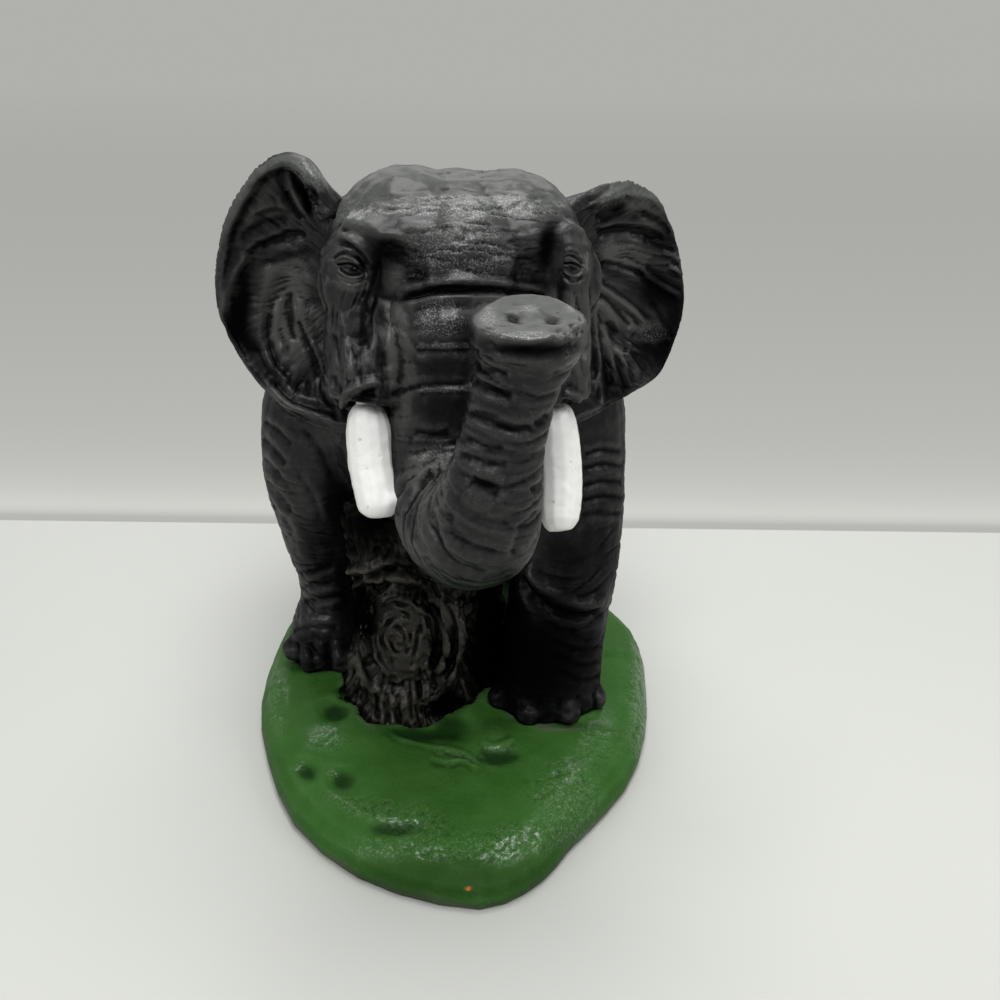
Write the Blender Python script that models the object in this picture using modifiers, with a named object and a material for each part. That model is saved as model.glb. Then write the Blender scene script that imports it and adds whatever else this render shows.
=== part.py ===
"""Painted toy elephant, walking over a tree stump on a grass base.

Metres, +Z up. The origin is the centre of the base's underside, and the elephant faces -Y.
Its own left side is at +X. A table whose name ends in shares gives places as shares of the
named sizes that it follows, in the order across, along, up.
"""

import math

import bmesh
import bpy
from mathutils import Matrix, Vector

# Base
BASE_WIDTH = 0.120
BASE_LENGTH = 0.170
BASE_HEIGHT = 0.0135
BASE_LUMP_RADIUS = 0.0062
BASE_LUMP_HEIGHT = 0.0016

# Tree stump
STUMP_RADIUS = 0.0166
STUMP_HEIGHT = 0.066
STUMP_SINK = 0.0045
STUMP_BARK_DEPTH = 0.0013
STUB_RADIUS = 0.0158
STUB_LENGTH = 0.0105
STUMP_ACROSS = -0.0135
STUMP_ALONG = -0.004
STUMP_BUTTRESS_ANGLE = math.radians(24)
STUMP_TWIST = math.radians(150)
STUB_LEAN = math.radians(12)

# Body
BODY_WIDTH = 0.094
BODY_LENGTH = 0.114
BODY_DEPTH = 0.086
BODY_ACROSS = -0.003
CHEST_ALONG = -0.024
BELLY_HEIGHT = 0.059

# Legs
LEG_RADIUS = 0.0155
LEG_SPREAD = 0.031
LEG_STRIDE = 0.020
LEG_HEIGHT = 0.106
SOLE_HEIGHT = 0.0105
FORELEG_ALONG = 0.004
HINDLEG_ALONG = 0.061
LEG_JOINT_HEIGHT = 0.054
LEG_PEG_RADIUS = 0.005
LEG_PEG_LENGTH = 0.010
FOOT_PEG_RADIUS = 0.003
FOOT_PEG_LENGTH = 0.005
TOENAIL_RADIUS = 0.0037
TOENAIL_DEPTH_SHARE = 0.8
TOENAIL_LIFT_SHARE = 0.6

# Head
HEAD_WIDTH = 0.0645
HEAD_LENGTH = 0.050
HEAD_HEIGHT = 0.060
HEAD_ACROSS = 0.0008
HEAD_ALONG = -0.030
HEAD_UP = 0.139
HEAD_TURN = math.radians(7)
HEAD_ROLL = math.radians(4)
NECK_RADIUS = 0.029
NECK_JOINT_SETBACK = 0.026
NECK_LEAN = math.radians(31)
NECK_PEG_RADIUS = 0.009
NECK_PEG_LENGTH = 0.014
EYE_RADIUS = 0.0030

# Trunk
TRUNK_RADIUS = 0.0165
TRUNK_SWING = 0.0145
TRUNK_REACH = 0.050
TRUNK_DROP = 0.0445
TRUNK_RIB_HEIGHT = 0.0006
NOSTRIL_RADIUS = 0.0023
NOSTRIL_DEPTH = 0.0020

# Tusks
TUSK_RADIUS = 0.0051
TUSK_LENGTH = 0.0295
TUSK_ROOT_LENGTH = 0.009
TUSK_ACROSS = 0.0215
TUSK_ALONG = -0.0190
TUSK_UP = -0.0175

# Ears
EAR_HEIGHT = 0.058
EAR_REACH = 0.034
EAR_THICKNESS = 0.0032
EAR_ROOT_DEPTH = 0.005
EAR_CUP_DEPTH = 0.006
EAR_RIDGE_HEIGHT = 0.0006

# Tail
TAIL_RADIUS = 0.0030
TAIL_LENGTH = 0.058
TAIL_ROOT_DEPTH = 0.007

# Pegs: how much narrower the end is, how far the root goes into its own piece, and the sides
PEG_END_SHARE = 0.92
PEG_ROOT_SHARE = 0.5
PEG_SIDES = 14

# Fits and surface grain
GAP = 0.0003
WELD = 0.00002
SHARP_ANGLE = math.radians(40)
GRAIN = 0.0011
BODY_GRAIN = 0.0014
TRUNK_GRAIN = 0.0009
EAR_GRAIN = 0.0007
ROUNDING = 5
BODY_ROUNDING = 22

# Triangles kept on each fused form
FIGURE_TRIANGLES = 4000
TRUNK_TRIANGLES = 1300
EAR_TRIANGLES = 660

COLLECTION_NAME = "toy_elephant"
CUTTER_COLLECTION_NAME = "cutters"

# Outline of the base seen from above, as shares of half its width and half its length
BASE_OUTLINE_SHARES = [
    (0.07, -0.995), (0.24, -0.95), (0.37, -0.87), (0.47, -0.765), (0.63, -0.63), (0.80, -0.45),
    (0.91, -0.23), (0.96, -0.02), (0.99, 0.22), (0.96, 0.40), (0.86, 0.56), (0.74, 0.73),
    (0.53, 0.90), (0.23, 0.985), (-0.13, 1.00), (-0.46, 0.93), (-0.74, 0.78), (-0.90, 0.60),
    (-0.96, 0.42), (-1.00, 0.17), (-0.985, -0.09), (-0.89, -0.36), (-0.75, -0.61),
    (-0.50, -0.82), (-0.22, -0.94),
]
# Section of the base from the middle of its top, over the edge, to the underside
BASE_SECTION_SHARES = [
    (0.18, 1.00), (0.40, 0.995), (0.60, 0.97), (0.75, 0.92), (0.86, 0.83), (0.935, 0.69),
    (0.98, 0.48), (1.00, 0.22), (0.985, 0.0),
]
BASE_OUTLINE_POINTS = 42
# Low mounds and hollows in the grass: place, width and height
BASE_LUMP_SHARES = [
    (-0.60, -0.30, 0.9, 1.0), (-0.44, -0.33, 0.8, 0.8), (0.17, -0.36, 1.3, 1.1),
    (-0.28, -0.60, 1.3, -0.6), (0.10, -0.12, 1.6, 1.1), (0.66, -0.26, 1.5, 0.5),
    (-0.72, 0.05, 1.8, 0.5), (-0.70, 0.62, 1.8, 0.8), (0.60, 0.66, 1.8, 0.8),
    (0.02, 0.62, 2.2, 0.7), (0.30, -0.68, 2.0, 0.4), (0.82, 0.12, 1.6, 0.8),
]

# Stations up the stump: height, radius
STUMP_SECTION_SHARES = [
    (0.0, 1.34), (0.08, 1.31), (0.14, 1.22), (0.22, 1.11), (0.32, 1.02), (0.46, 0.97),
    (0.62, 0.98), (0.80, 1.0), (1.0, 1.02),
]
# Section of the sawn branch stub from its centre out over the bark's lip and back: out, then along
STUB_SECTION_SHARES = [
    (0.0, 0.90), (0.09, 0.85), (0.19, 0.92), (0.29, 0.85), (0.39, 0.92), (0.49, 0.85), (0.59, 0.92),
    (0.68, 0.85), (0.77, 0.90), (0.83, 0.98), (0.91, 1.0), (0.98, 0.93), (1.0, 0.76), (0.97, 0.0), (0.0, 0.0),
]
STUMP_FLUTES = 9
STUMP_LOBES = 3
STUMP_SIDES = 36
STUMP_RINGS = 9
STUMP_BUTTRESS_SHARE = 0.72
STUMP_BUTTRESS_POWER = 6
STUB_PLACE_SHARES = (0.03, -0.72, 0.43)
STUB_STRETCH_SHARES = (1.0, 1.18, 1.0, 1.0)

# Body lumps: centre, then radii, as shares of the body's width, length and depth
BODY_LUMP_SHARES = [
    ((0.0, 0.27, 0.52), (0.42, 0.27, 0.45)),
    ((0.0, 0.47, 0.48), (0.49, 0.40, 0.48)),
    ((0.0, 0.70, 0.53), (0.44, 0.28, 0.45)),
    ((0.0, 0.33, 0.80), (0.24, 0.26, 0.215)),
    ((0.0, 0.52, 0.74), (0.27, 0.34, 0.26)),
    ((0.0, 0.70, 0.74), (0.27, 0.24, 0.21)),
    ((0.0, 0.12, 0.42), (0.29, 0.20, 0.32)),
    ((0.0, 0.10, 0.66), (0.27, 0.22, 0.26)),
]

# Each leg's stations: across, along and up as shares of the leg's spread, stride and height,
# then the radius as a share of the leg's radius
FORE_LEFT_SHARES = [
    (0.83, -0.74, 0.00, 0.95), (0.83, -0.74, 0.03, 1.03), (0.86, -0.70, 0.13, 1.00),
    (0.91, -0.58, 0.22, 0.96), (0.97, -0.50, 0.33, 0.98), (1.01, -0.32, 0.47, 1.04),
    (1.02, -0.04, 0.66, 1.08), (0.95, 0.14, 0.84, 1.14), (0.86, 0.26, 1.00, 0.84),
]
FORE_RIGHT_SHARES = [
    (-1.26, 0.58, 0.00, 0.76), (-1.26, 0.58, 0.03, 0.86), (-1.25, 0.60, 0.12, 0.78),
    (-1.22, 0.64, 0.21, 0.63), (-1.20, 0.60, 0.33, 0.80), (-1.18, 0.50, 0.47, 1.05),
    (-1.15, 0.38, 0.64, 1.24), (-1.04, 0.32, 0.84, 1.27), (-0.85, 0.34, 1.00, 0.90),
]
HIND_LEFT_SHARES = [
    (0.92, 0.24, 0.00, 0.80), (0.92, 0.24, 0.03, 0.90), (0.92, 0.26, 0.13, 0.80),
    (0.93, 0.36, 0.24, 0.72), (0.93, 0.24, 0.37, 0.86), (0.90, 0.04, 0.52, 1.10),
    (0.82, -0.08, 0.69, 1.42), (0.72, -0.16, 0.86, 1.48), (0.58, -0.20, 1.00, 1.05),
]
HIND_RIGHT_SHARES = [
    (-1.10, -0.42, 0.00, 0.80), (-1.10, -0.42, 0.03, 0.90), (-1.10, -0.40, 0.13, 0.80),
    (-1.11, -0.28, 0.24, 0.72), (-1.11, -0.34, 0.37, 0.86), (-1.08, -0.34, 0.52, 1.10),
    (-0.98, -0.24, 0.69, 1.42), (-0.88, -0.20, 0.86, 1.48), (-0.72, -0.20, 1.00, 1.05),
]
LEG_STATION_SHARES = {
    "leg_front_left": FORE_LEFT_SHARES,
    "leg_front_right": FORE_RIGHT_SHARES,
    "leg_hind_left": HIND_LEFT_SHARES,
    "leg_hind_right": HIND_RIGHT_SHARES,
}
TOENAIL_ANGLES = [math.radians(angle) for angle in (-66, -24, 20, 62)]

# Head lumps on the middle line: centre, then radii, as shares of its width, length and height
HEAD_MIDDLE_SHARES = [
    ((0.0, 0.06, 0.05), (0.46, 0.46, 0.42)),
    ((0.0, 0.03, 0.28), (0.32, 0.36, 0.185)),
    ((0.0, -0.24, 0.10), (0.25, 0.25, 0.32)),
    ((0.0, -0.24, -0.14), (0.22, 0.24, 0.36)),
]
# Head lumps that each side has; across is outwards
HEAD_SIDE_SHARES = [
    ((0.18, -0.02, 0.19), (0.27, 0.37, 0.30)),
    ((0.20, -0.23, 0.265), (0.23, 0.17, 0.115)),
    ((0.37, -0.20, 0.10), (0.13, 0.17, 0.20)),
    ((0.33, -0.20, -0.16), (0.15, 0.27, 0.27)),
    ((0.37, 0.12, 0.02), (0.10, 0.20, 0.34)),
]
# Path of the tusk's sheath, with its radius as a share of the tusk's
SHEATH_SHARES = [(0.29, -0.24, -0.08, 1.9), (0.315, -0.33, -0.21, 1.95), (0.335, -0.39, -0.33, 1.62)]
# Path of the lower jaw, with its radius as a share of the neck's
JAW_SHARES = [(0.0, 0.06, -0.34, 0.42), (0.0, 0.00, -0.52, 0.30), (0.0, 0.00, -0.68, 0.17)]
# Hollows in the face: centre, radii, and depth as a share of the head's width
HOLLOW_SHARES = [
    ((0.22, -0.44, 0.12), (0.10, 0.20, 0.22), 0.060),
    ((0.26, -0.46, -0.12), (0.06, 0.20, 0.26), 0.040),
    ((0.47, -0.06, 0.12), (0.07, 0.12, 0.40), 0.030),
]
EYE_SHARES = (0.370, -0.300, 0.165)
EYE_RADIUS_SHARES = (1.15, 1.0, 0.95)
# Path of the neck from head to shoulders, with its radius as a share of the neck's
NECK_SHARES = [
    (0.0, 0.05, 0.0, 0.86), (0.0, 0.42, -0.10, 0.97), (0.0, 0.90, -0.27, 1.10), (0.0, 1.25, -0.48, 0.70),
]

# The trunk's middle line from its root in the face, down, round and up to the tip: across, along
# and up as shares of its swing, reach and drop, then the radius as a share of the trunk's
TRUNK_SHARES = [
    (0.02, -0.055, 0.17, 0.50), (0.02, -0.147, 0.10, 0.84), (0.01, -0.24, -0.12, 0.97),
    (0.00, -0.30, -0.44, 0.99), (0.00, -0.39, -0.74, 0.98), (0.10, -0.60, -0.95, 0.96),
    (0.31, -0.85, -0.87, 0.81), (0.46, -0.97, -0.64, 0.67), (0.60, -1.00, -0.38, 0.555),
    (0.79, -1.00, -0.12, 0.525), (0.92, -1.006, 0.05, 0.59), (0.97, -1.012, 0.14, 0.67),
    (0.98, -1.02, 0.20, 0.70), (0.98, -1.028, 0.248, 0.66),
]
TRUNK_RINGS = 92
TRUNK_RIB_COUNT = 15
TRUNK_RIBBED_SHARES = (0.1, 0.88)
NOSTRIL_PLACE_SHARE = 0.38

# The tusk's middle line and radius from root to tip
TUSK_SHARES = [
    (0.0, 0.0, 0.0, 0.90), (0.01, -0.02, -0.12, 0.97), (0.02, -0.06, -0.36, 1.0),
    (0.03, -0.13, -0.60, 1.01), (0.01, -0.22, -0.80, 1.0), (0.0, -0.28, -0.91, 0.86),
    (0.0, -0.31, -0.96, 0.50),
]
# How far each tusk leans outwards by its tip
TUSK_LEAN_SHARES = {"tusk_left": 0.04, "tusk_right": -0.10}
TUSK_LENGTH_SHARES = {"tusk_left": 1.06, "tusk_right": 0.94}

# Each ear's edge from its upper root, round the outside, to its lower root: outwards and up
EAR_EDGE_SHARES = {
    "ear_left": [
        (-0.02, 0.88), (0.12, 0.95), (0.36, 1.00), (0.61, 0.995), (0.80, 0.93), (0.93, 0.79), (1.01, 0.62),
        (1.035, 0.44), (0.98, 0.27), (0.79, 0.13), (0.49, 0.05), (0.17, 0.01), (-0.14, 0.02),
    ],
    "ear_right": [
        (-0.02, 0.88), (0.13, 0.965), (0.32, 1.00), (0.56, 0.90), (0.79, 0.70), (0.94, 0.52), (0.97, 0.385),
        (0.86, 0.245), (0.67, 0.125), (0.43, 0.045), (0.16, 0.01), (-0.14, 0.02),
    ],
}
EAR_ROOT_SHARES = [(-0.02, 0.82), (-0.18, 0.12)]
# Where each ear's upper root sits on the head, as shares of the head's sizes, and how far it leans
EAR_PLACE_SHARES = (0.44, 0.12, -0.56)
EAR_SWEEP = math.radians(34)
EAR_LIFT_SHARES = {"ear_left": -0.02, "ear_right": 0.09}
EAR_REACH_SHARES = {"ear_left": 1.16, "ear_right": 0.80}
EAR_RIDGES = 7
EAR_CURL_SHARE = 0.9
EAR_SPOKES = 24
EAR_ROWS = 9

# The tail's middle line below its root, and its radius
TAIL_SHARES = [
    (0.0, 0.0, 0.0, 1.15), (0.0, 0.10, -0.06, 1.05), (0.02, 0.17, -0.24, 0.92),
    (0.06, 0.17, -0.46, 0.80), (0.11, 0.14, -0.66, 0.74), (0.14, 0.12, -0.78, 1.10),
    (0.16, 0.11, -0.90, 1.20), (0.17, 0.10, -1.0, 0.50),
]
TAIL_PLACE_SHARES = (0.0, 0.965, 0.74)

COLOURS = {
    "grass": ((0.035, 0.165, 0.030, 1.0), 0.38),
    "bark": ((0.020, 0.018, 0.017, 1.0), 0.55),
    "hide": ((0.030, 0.033, 0.035, 1.0), 0.42),
    "ivory": ((0.80, 0.80, 0.77, 1.0), 0.28),
}


def clear_scene():
    for obj in list(bpy.data.objects):
        bpy.data.objects.remove(obj)


def collection(name):
    made = bpy.data.collections.new(name)
    bpy.context.scene.collection.children.link(made)
    return made


def at(origin, sizes, shares):
    """The point that lies these shares of the sizes from origin."""
    return Vector(origin) + Vector(size * share for size, share in zip(sizes, shares))


def through(points, count, closed=False):
    """A Catmull-Rom line of count points through these, each a tuple of numbers of any length."""
    last = len(points) if closed else len(points) - 1

    def pick(index):
        if closed:
            return points[index % len(points)]
        return points[min(max(index, 0), len(points) - 1)]

    line = []
    for step in range(count):
        place = step * last / (count if closed else count - 1)
        index = min(int(place), last - 1)
        t = place - index
        weights = (
            (-t + 2 * t**2 - t**3) / 2, (2 - 5 * t**2 + 3 * t**3) / 2,
            (t + 4 * t**2 - 3 * t**3) / 2, (-(t**2) + t**3) / 2,
        )
        corners = [pick(index + offset) for offset in (-1, 0, 1, 2)]
        line.append(tuple(sum(w * c[k] for w, c in zip(weights, corners)) for k in range(len(points[0]))))
    return line


def new_object(name, bm):
    """An object in the figure's collection, made from bm, which is freed."""
    mesh = bpy.data.meshes.new(name)
    bm.to_mesh(mesh)
    bm.free()
    obj = bpy.data.objects.new(name, mesh)
    bpy.data.collections[COLLECTION_NAME].objects.link(obj)
    return obj


def bake(obj):
    """Replaces obj's mesh with what its modifiers make of it."""
    graph = bpy.context.evaluated_depsgraph_get()
    mesh = bpy.data.meshes.new_from_object(obj.evaluated_get(graph))
    obj.modifiers.clear()
    obj.data = mesh
    return obj


def drop(obj):
    bpy.data.objects.remove(obj)


def combine(host, tool, operation):
    """Joins tool to host, or cuts it out of host, and removes tool."""
    bpy.data.collections[COLLECTION_NAME].objects.unlink(tool)
    bpy.data.collections[CUTTER_COLLECTION_NAME].objects.link(tool)
    tool.hide_render = True
    tool.display_type = "WIRE"
    modifier = host.modifiers.new(operation.lower(), "BOOLEAN")
    modifier.operation = operation
    modifier.object = tool
    bake(host)
    drop(tool)
    return host


def tube(name, stations, sides):
    """A tube with closed ends through stations of place and radius."""
    line = bpy.data.curves.new(name, "CURVE")
    line.dimensions = "3D"
    line.bevel_depth = 1.0
    line.bevel_resolution = sides // 2 - 2
    line.use_fill_caps = True
    spline = line.splines.new("POLY")
    spline.points.add(len(stations) - 1)
    for point, (x, y, z, radius) in zip(spline.points, stations):
        point.co = (x, y, z, 1.0)
        point.radius = radius
    guide = bpy.data.objects.new(name, line)
    bpy.data.collections[COLLECTION_NAME].objects.link(guide)
    graph = bpy.context.evaluated_depsgraph_get()
    bm = bmesh.new()
    bm.from_mesh(bpy.data.meshes.new_from_object(guide.evaluated_get(graph)))
    bmesh.ops.remove_doubles(bm, verts=bm.verts, dist=WELD)
    drop(guide)
    return new_object(name, bm)


def stations_at(origin, sizes, radius, shares, count):
    """Stations for tube, from shares of the sizes and of the radius."""
    rows = [(*at(origin, sizes, share[:3]), radius * share[3]) for share in shares]
    return through(rows, count)


def add_lump(clay, centre, radii, turn=None):
    """Adds an ellipsoid to a bmesh."""
    matrix = Matrix.Translation(centre) @ (turn or Matrix.Identity(4)) @ Matrix.Diagonal((*radii, 1.0))
    bmesh.ops.create_uvsphere(clay, u_segments=24, v_segments=16, radius=1.0, matrix=matrix)


def add_tube(clay, stations):
    """Adds a tube of these stations to a bmesh."""
    piece = tube("tube", stations, 24)
    clay.from_mesh(piece.data)
    drop(piece)


def skin(obj, grain, smoothing):
    """Makes one closed skin round everything in obj, and rounds off where its lumps meet."""
    remesh = obj.modifiers.new("one_skin", "REMESH")
    remesh.mode = "VOXEL"
    remesh.voxel_size = grain
    smooth = obj.modifiers.new("rounding", "SMOOTH")
    smooth.iterations = smoothing
    return bake(obj)


def thin(obj, triangles):
    """Thins the mesh to about this many triangles, keeping the most where it curves most."""
    now = sum(len(face.vertices) - 2 for face in obj.data.polygons)
    decimate = obj.modifiers.new("thinning", "DECIMATE")
    decimate.ratio = min(triangles / now, 1.0)
    decimate.use_collapse_triangulate = True
    return bake(obj)


def press(obj, centre, radii, depth):
    """Presses a soft hollow of this depth into the surface near centre."""
    mesh = obj.data
    moves = []
    for vertex in mesh.vertices:
        away = Vector((vertex.co[k] - centre[k]) / radii[k] for k in range(3)).length
        if away < 1.0:
            moves.append((vertex.index, vertex.normal * (-depth * (1.0 - away**2) ** 2)))
    for index, move in moves:
        mesh.vertices[index].co += move


def saw(obj, point, outwards):
    """Cuts away what lies beyond the plane through point, and closes the cut."""
    bm = bmesh.new()
    bm.from_mesh(obj.data)
    everything = bm.verts[:] + bm.edges[:] + bm.faces[:]
    cut = bmesh.ops.bisect_plane(
        bm, geom=everything, plane_co=point, plane_no=outwards, clear_outer=True, dist=WELD
    )
    rim = [part for part in cut["geom_cut"] if isinstance(part, bmesh.types.BMEdge)]
    bmesh.ops.holes_fill(bm, edges=rim, sides=0)
    bmesh.ops.triangulate(bm, faces=bm.faces[:])
    bm.to_mesh(obj.data)
    bm.free()
    return obj


def copy_of(obj, name):
    twin = obj.copy()
    twin.data = obj.data.copy()
    twin.name = name
    bpy.data.collections[COLLECTION_NAME].objects.link(twin)
    return twin


def grown(obj, by):
    """A copy of obj whose surface stands out by this much."""
    twin = copy_of(obj, obj.name + "_room")
    swell = twin.modifiers.new("room", "DISPLACE")
    swell.strength = by
    swell.mid_level = 0.0
    return bake(twin)


def seat(host, guest):
    """Cuts room for guest out of host, with the fitting gap all round."""
    combine(host, grown(guest, GAP), "DIFFERENCE")
    keep_largest(host)


def keep_largest(obj):
    """Removes the crumbs that a cut can leave beside a piece."""
    bm = bmesh.new()
    bm.from_mesh(obj.data)
    unseen = set(bm.verts)
    islands = []
    while unseen:
        island = []
        queue = [unseen.pop()]
        while queue:
            vertex = queue.pop()
            island.append(vertex)
            for edge in vertex.link_edges:
                other = edge.other_vert(vertex)
                if other in unseen:
                    unseen.remove(other)
                    queue.append(other)
        islands.append(island)
    islands.sort(key=len)
    for island in islands[:-1]:
        bmesh.ops.delete(bm, geom=island, context="VERTS")
    bm.to_mesh(obj.data)
    bm.free()


def peg(name, face, direction, radius, length):
    """A tapered peg that stands this far out of a face, with its root inside the piece."""
    bm = bmesh.new()
    root = length * PEG_ROOT_SHARE
    end_radius = radius * PEG_END_SHARE
    bmesh.ops.create_cone(
        bm, cap_ends=True, segments=PEG_SIDES, radius1=radius, radius2=end_radius, depth=length + root
    )
    lean = Vector((0, 0, 1)).rotation_difference(direction).to_matrix().to_4x4()
    middle = face + direction.normalized() * ((length - root) / 2)
    bmesh.ops.transform(bm, matrix=Matrix.Translation(middle) @ lean, verts=bm.verts)
    return new_object(name, bm)


def base_height(across, along):
    """Height of the mounds at a place given as shares of half the base's width and length."""
    rise = 0.0
    for x, y, width, height in BASE_LUMP_SHARES:
        dx = (across - x) * BASE_WIDTH / 2
        dy = (along - y) * BASE_LENGTH / 2
        away = math.hypot(dx, dy) / (BASE_LUMP_RADIUS * width)
        rise += BASE_LUMP_HEIGHT * height * math.exp(-(away**2))
    return rise


def make_base():
    """Grass mound: its outline drawn in and lifted in rings, from the underside's edge to the crown."""
    outline = through(BASE_OUTLINE_SHARES, BASE_OUTLINE_POINTS, closed=True)
    bm = bmesh.new()
    rings = []
    for scale, height in reversed(BASE_SECTION_SHARES):
        ring = []
        for x, y in outline:
            place = (x * scale, y * scale)
            top = height * BASE_HEIGHT + base_height(*place) * min(height * 2, 1.0) * (height > 0)
            ring.append(bm.verts.new((place[0] * BASE_WIDTH / 2, place[1] * BASE_LENGTH / 2, top)))
        rings.append(ring)
    for lower, upper in zip(rings, rings[1:]):
        for i in range(len(outline)):
            j = (i + 1) % len(outline)
            bm.faces.new((lower[i], lower[j], upper[j], upper[i]))
    bm.faces.new(reversed(rings[0]))
    bm.faces.new(rings[-1])
    bmesh.ops.recalc_face_normals(bm, faces=bm.faces)
    return new_object("base", bm)


def make_stump():
    """Fluted stump whose front is sawn off at a slant, with growth rings on the cut."""
    foot = Vector((STUMP_ACROSS, STUMP_ALONG, BASE_HEIGHT - STUMP_SINK))
    bm = bmesh.new()
    rings = []
    for up, width in through(STUMP_SECTION_SHARES, STUMP_RINGS):
        ring = []
        for i in range(STUMP_SIDES):
            angle = math.tau * i / STUMP_SIDES
            flute = math.cos(STUMP_FLUTES * angle + STUMP_TWIST * up)
            lobe = math.cos(STUMP_LOBES * angle - STUMP_TWIST * up)
            buttress = max(math.cos(angle - STUMP_BUTTRESS_ANGLE), 0.0) ** STUMP_BUTTRESS_POWER
            radius = STUMP_RADIUS * width * (1 + STUMP_BUTTRESS_SHARE * buttress)
            radius += STUMP_BARK_DEPTH * (flute + lobe / 2)
            spot = Vector((math.cos(angle) * radius, math.sin(angle) * radius, up * STUMP_HEIGHT))
            ring.append(bm.verts.new(foot + spot))
        rings.append(ring)
    for lower, upper in zip(rings, rings[1:]):
        for i in range(STUMP_SIDES):
            j = (i + 1) % STUMP_SIDES
            bm.faces.new((lower[i], lower[j], upper[j], upper[i]))
    bm.faces.new(reversed(rings[0]))
    bm.faces.new(rings[-1])
    stump = new_object("stump", bm)
    return combine(stump, make_stub(foot), "UNION")


def make_stub(foot):
    """A sawn branch stub, turned from its section, that comes forward out of the stump."""
    bm = bmesh.new()
    points = [bm.verts.new((out * STUB_RADIUS, 0, along * STUB_LENGTH)) for out, along in STUB_SECTION_SHARES]
    for first, second in zip(points, points[1:]):
        bm.edges.new((first, second))
    stub = new_object("stub", bm)
    screw = stub.modifiers.new("turned", "SCREW")
    screw.steps = 22
    screw.render_steps = 22
    screw.use_merge_vertices = True
    screw.merge_threshold = WELD
    bake(stub)
    outwards = Vector((0, -math.cos(STUB_LEAN), math.sin(STUB_LEAN)))
    lean = Vector((0, 0, 1)).rotation_difference(outwards).to_matrix().to_4x4()
    middle = foot + at((0, 0, 0), (STUMP_RADIUS, STUMP_RADIUS, STUMP_HEIGHT), STUB_PLACE_SHARES)
    stub.data.transform(Matrix.Translation(middle) @ lean @ Matrix.Diagonal(STUB_STRETCH_SHARES))
    face_outwards(stub)
    return stub


def face_outwards(obj):
    """Turns every face of a closed mesh outwards."""
    bm = bmesh.new()
    bm.from_mesh(obj.data)
    bmesh.ops.recalc_face_normals(bm, faces=bm.faces)
    bm.to_mesh(obj.data)
    bm.free()


def body_origin():
    return Vector((BODY_ACROSS, CHEST_ALONG, BELLY_HEIGHT))


def leg_origin(name):
    along = FORELEG_ALONG if "front" in name else HINDLEG_ALONG
    return Vector((0, along, SOLE_HEIGHT))


def leg_stations(name, count):
    sizes = (LEG_SPREAD, LEG_STRIDE, LEG_HEIGHT)
    return stations_at(leg_origin(name), sizes, LEG_RADIUS, LEG_STATION_SHARES[name], count)


def head_turn():
    return Matrix.Rotation(HEAD_TURN, 4, "Z") @ Matrix.Rotation(HEAD_ROLL, 4, "Y")


def head_frame():
    return Matrix.Translation((HEAD_ACROSS, HEAD_ALONG, HEAD_UP)) @ head_turn()


def on_head(shares, side=1):
    """A place on the head from shares of its sizes; side is 1 for its left and -1 for its right."""
    return head_frame() @ at((0, 0, 0), (side * HEAD_WIDTH, HEAD_LENGTH, HEAD_HEIGHT), shares)


def neck_stations():
    rows = [(*on_head(share[:3]), NECK_RADIUS * share[3]) for share in NECK_SHARES]
    return through(rows, 12)


def neck_joint():
    """The middle of the neck's joint, and the direction from the head into the body."""
    into_body = Vector((0, math.cos(NECK_LEAN), -math.sin(NECK_LEAN)))
    middle = Vector((HEAD_ACROSS, HEAD_ALONG, HEAD_UP)) + into_body * NECK_JOINT_SETBACK
    return middle, into_body


def add_toenails(clay, name):
    """Four broad nails round the front of a foot."""
    x, y, z, radius = leg_stations(name, len(LEG_STATION_SHARES[name]))[1]
    for angle in TOENAIL_ANGLES:
        lift = TOENAIL_RADIUS * TOENAIL_LIFT_SHARE
        spot = Vector((x + radius * math.sin(angle), y - radius * math.cos(angle), z + lift))
        radii = (TOENAIL_RADIUS, TOENAIL_RADIUS * TOENAIL_DEPTH_SHARE, TOENAIL_RADIUS)
        add_lump(clay, spot, radii, Matrix.Rotation(angle, 4, "Z"))


def make_body():
    """Barrel, neck and legs in one well rounded skin."""
    clay = bmesh.new()
    sizes = (BODY_WIDTH, BODY_LENGTH, BODY_DEPTH)
    for centre, radii in BODY_LUMP_SHARES:
        add_lump(clay, at(body_origin(), sizes, centre), at((0, 0, 0), sizes, radii))
    for name in LEG_STATION_SHARES:
        add_tube(clay, leg_stations(name, 20))
    add_tube(clay, neck_stations())
    return skin(new_object("body", clay), BODY_GRAIN, BODY_ROUNDING)


def make_figure():
    """Body, toenails and head in one skin, with the hollows of the face pressed in."""
    body = make_body()
    clay = bmesh.new()
    clay.from_mesh(body.data)
    drop(body)
    for name in LEG_STATION_SHARES:
        add_toenails(clay, name)
    add_head(clay)
    figure = skin(new_object("figure", clay), GRAIN, ROUNDING)
    sizes = (HEAD_WIDTH, HEAD_LENGTH, HEAD_HEIGHT)
    for side in (1, -1):
        for centre, radii, depth in HOLLOW_SHARES:
            press(figure, on_head(centre, side), at((0, 0, 0), sizes, radii), HEAD_WIDTH * depth)
    return thin(figure, FIGURE_TRIANGLES)


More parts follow.
